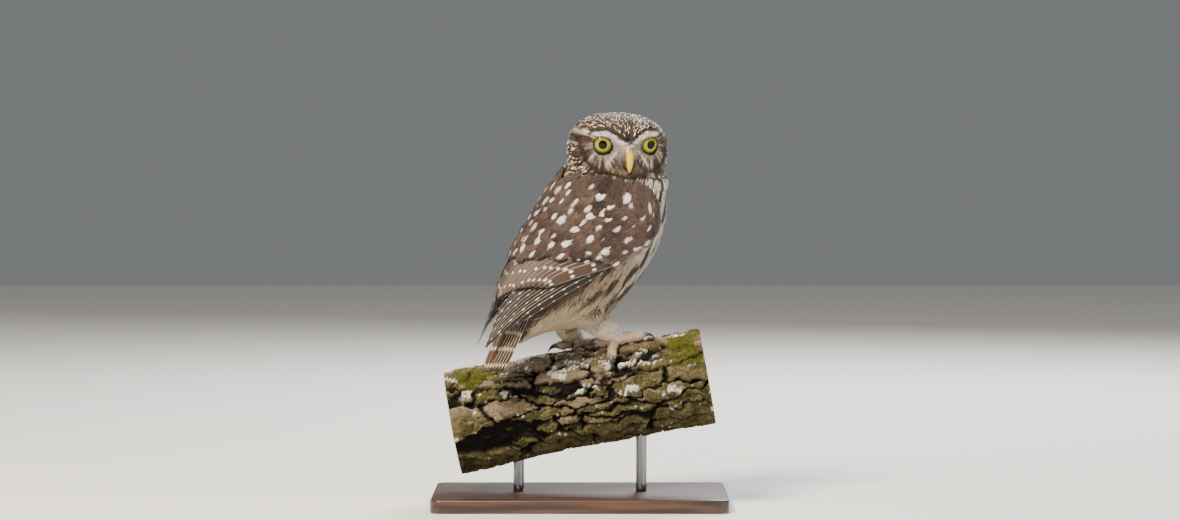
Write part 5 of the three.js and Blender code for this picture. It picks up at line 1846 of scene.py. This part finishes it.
# From below: paler plates, painted shade in the pits and the cracks, lichen, moss.
layers = ((plate, "#8f7c66"), (painted_pit_shade, "#241d10"), (cover[0], "#0f0b06"), (pale, "#d3d4c6"))
for share, code in (*layers, (green, "#4c4d12")):
    colour = add_node(tree, "Mix", {0: share, 6: colour, 7: code}, 2, **COLOURS)
dress(tree, shader, colour, fine, 1.0, 0.9)
# Plates are paler where they stand high and towards the top of the branch.
paler_plates = smooth(0.55 * level + 0.45 * inner_level + 0.35 * top, 0.45, 1.05)
bark_quads = strip_quads(BARK_ROWS, BARK_SIDES, True)
bark = make_piece(
    "bark", bark_points.reshape(-1, 3), bark_quads, bark_material,
    cover=np.stack([painted_crack_shade, lichen, moss], -1).reshape(-1, 3),
    plate=np.repeat(paler_plates.reshape(-1, 1), 3, 1),
)
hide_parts("perch")
print("bark", 2 * len(bark_quads), "triangles")

# %% [markdown]
# Moss is a cushion of tiny upright blades. Each is one narrow vane that stands out of the bark, at
# random among the places that are green.

# %% Moss tufts
MOSS_TUFTS = 3200
draw = np.random.default_rng(91)
chosen = np.argwhere(moss > 0.5)
chosen = chosen[draw.permutation(len(chosen))[:MOSS_TUFTS]]
spot_along, spot_turn = along[tuple(chosen.T)], turn[tuple(chosen.T)]
depth = relief[tuple(chosen.T)]
root = perch_point(spot_along, spot_turn, depth - 0.3)
out = unit(perch_point(spot_along, spot_turn, depth + 1) - root)
lean = unit(out + draw.normal(0, 0.5, root.shape))
length = draw.uniform(0.9, 1.9, len(root))
t = np.linspace(0, 1, 4)
spines = root[:, None] + lean[:, None] * length[:, None, None] * t[:, None]
spines[:, 2:] += draw.normal(0, 0.12, spines[:, 2:].shape)
across = unit(np.cross(lean, draw.normal(0, 1, root.shape)))
moss_material, tree, shader = new_material("matt_cushion_moss", "#5d6120", 0.9)
dress(tree, shader, add_node(tree, "Attribute", {}, "Color", attribute_name="ground"))
green = mixed(rgb("#45490f"), rgb("#8a8f26"), draw.uniform(0, 1, len(root)) ** 1.5)
bake = np.stack([0.5 + spot_along / 200, spot_turn / (2 * np.pi)], -1)
look = {"bake": bake, "ground": green}
make_feathers(
    "moss_tufts", moss_material, spines, np.broadcast_to(across[:, None], spines.shape),
    draw.uniform(0.16, 0.3, len(root)), [1, 0.9, 0.5, 0.15], 3, look, draw, thick=0.2,
)

# %% [markdown]
# A clean saw cut shows yearly rings under a thin rim of bark. It is plain, because the real branch
# goes on. Each end is the bark's own last ring, drawn in to its middle, so no gap can open.

# %% Sawn ends
end_material, tree, shader = new_material("matt_sawn_end_grain", "#b08d62", 0.85)
place = add_node(tree, "TexCoord", {}, "Object")
radius = add_node(tree, "Attribute", {}, "Color", attribute_name="ground")
wobble = add_node(tree, "TexNoise", {"Vector": place, "Scale": 60, "Detail": 3, "Roughness": 0.55})
rings = add_node(tree, "Math", {0: wobble, 1: 0.12, 2: radius}, operation="MULTIPLY_ADD")
ring = add_node(tree, "Math", {0: rings, 1: 120}, operation="MULTIPLY")
ring = add_node(tree, "Math", {0: ring}, operation="SINE")
late = add_node(tree, "MapRange", {0: ring, 1: -0.6, 2: 1}, **SMOOTH)
colour = add_node(tree, "Mix", {0: late, 6: "#a08764", 7: "#765c40"}, 2, **COLOURS)
in_bark = add_node(tree, "MapRange", {0: rings, 1: 0.93, 2: 1.02}, **SMOOTH)
dress(tree, shader, add_node(tree, "Mix", {0: in_bark, 6: colour, 7: "#2c2115"}, 2, **COLOURS))
END_RINGS = 16
for sign, end_name in ((-1, "low"), (1, "high")):
    rim = bark_points[0 if sign < 0 else -1]
    shares = np.linspace(1, 0.002, END_RINGS)
    centre = perch_point(sign * half_length, 0.0, -PERCH["radius"])
    disc = centre + (rim[None] - centre) * shares[:, None, None]
    quads = strip_quads(END_RINGS, BARK_SIDES, True)[:, ::sign]
    shade = np.repeat(np.repeat(shares, BARK_SIDES)[:, None], 3, 1)
    make_piece(f"sawn_end_{end_name}", disc.reshape(-1, 3), quads, end_material, ground=shade)

# %% [markdown]
# ## Stand
# A plain museum stand: a slab of dark varnished wood with softened edges, and two brushed steel
# rods that carry the branch.

# %% Stand
BASE = {"length": 220, "width": 150, "height": 10, "corner": 8, "bevel": 1.2}
ROD = {"radius": 4, "places": (-46, 46)}


def slab_ring(inset, height):
    """A rounded rectangle drawn in by an inset, at a height."""
    corner = BASE["corner"]
    angle = np.linspace(0, 2 * np.pi, 97)[:-1] + np.pi / 96
    x = np.sign(np.cos(angle)) * (BASE["length"] / 2 - corner) + (corner - inset) * np.cos(angle)
    y = np.sign(np.sin(angle)) * (BASE["width"] / 2 - corner) + (corner - inset) * np.sin(angle)
    return np.stack([x, y, np.full(96, height)], -1)


bevel, top_height = BASE["bevel"], BASE["height"]
quarter = np.linspace(0, np.pi / 2, 6)
rings = [slab_ring(bevel * (1 - np.sin(a)), bevel * (1 - np.cos(a))) for a in quarter]
rings += [slab_ring(bevel * (1 - np.cos(a)), top_height - bevel * (1 - np.sin(a))) for a in quarter]
wood_material, tree, shader = new_material(
    "satin_varnished_dark_wood", "#3b2c22", 0.38, Coat_Weight=0.3, Coat_Roughness=0.25
)
place = add_node(tree, "TexCoord", {}, "Object")
drawn = add_node(tree, "VectorMath", {0: place, 1: (12, 160, 160)}, operation="MULTIPLY")
figure = add_node(tree, "TexNoise", {"Vector": drawn, "Scale": 1, "Detail": 6, "Roughness": 0.55})
figure = add_node(tree, "MapRange", {0: figure, 1: 0.35, 2: 0.65}, **SMOOTH)
dress(tree, shader, add_node(tree, "Mix", {0: figure, 6: "#2a1b12", 7: "#54392a"}, 2, **COLOURS))
slab = loft_piece("stand_slab", np.array(rings), wood_material)
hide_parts("stand_base")

# Brushed steel is bright but blurs what it mirrors.
steel_material, _, _ = new_material("brushed_steel", "#8d8f92", 0.36, Metallic=1.0)
for place, side_name in zip(ROD["places"], ("left", "right")):
    angle = np.arange(48) * 2 * np.pi / 48
    height = np.array([BASE["height"] + 0.05, BASE["height"] + 6, 44 + 0.18 * place, 56 + 0.18 * place])
    ring = np.stack([ROD["radius"] * np.cos(angle), ROD["radius"] * np.sin(angle), 0 * angle], -1)
    points = ring + np.stack([place + 0 * height, 0 * height, height], -1)[:, None]
    rod = loft_piece(f"rod_{side_name}", points, steel_material)
    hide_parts(f"stand_rod_{side_name}")

# %% Sizes
visual_box = plain_box()
for axis, name in enumerate("xyz"):
    side = cad_box[1][axis] - cad_box[0][axis]
    below = (cad_box[0][axis] - visual_box[0][axis]) / side
    above = (visual_box[1][axis] - cad_box[1][axis]) / side
    past = [round(100 * share, 2) for share in (below, above)]
    print(name, "side", round(side / MM, 1), "mm, beyond it", past, "%")
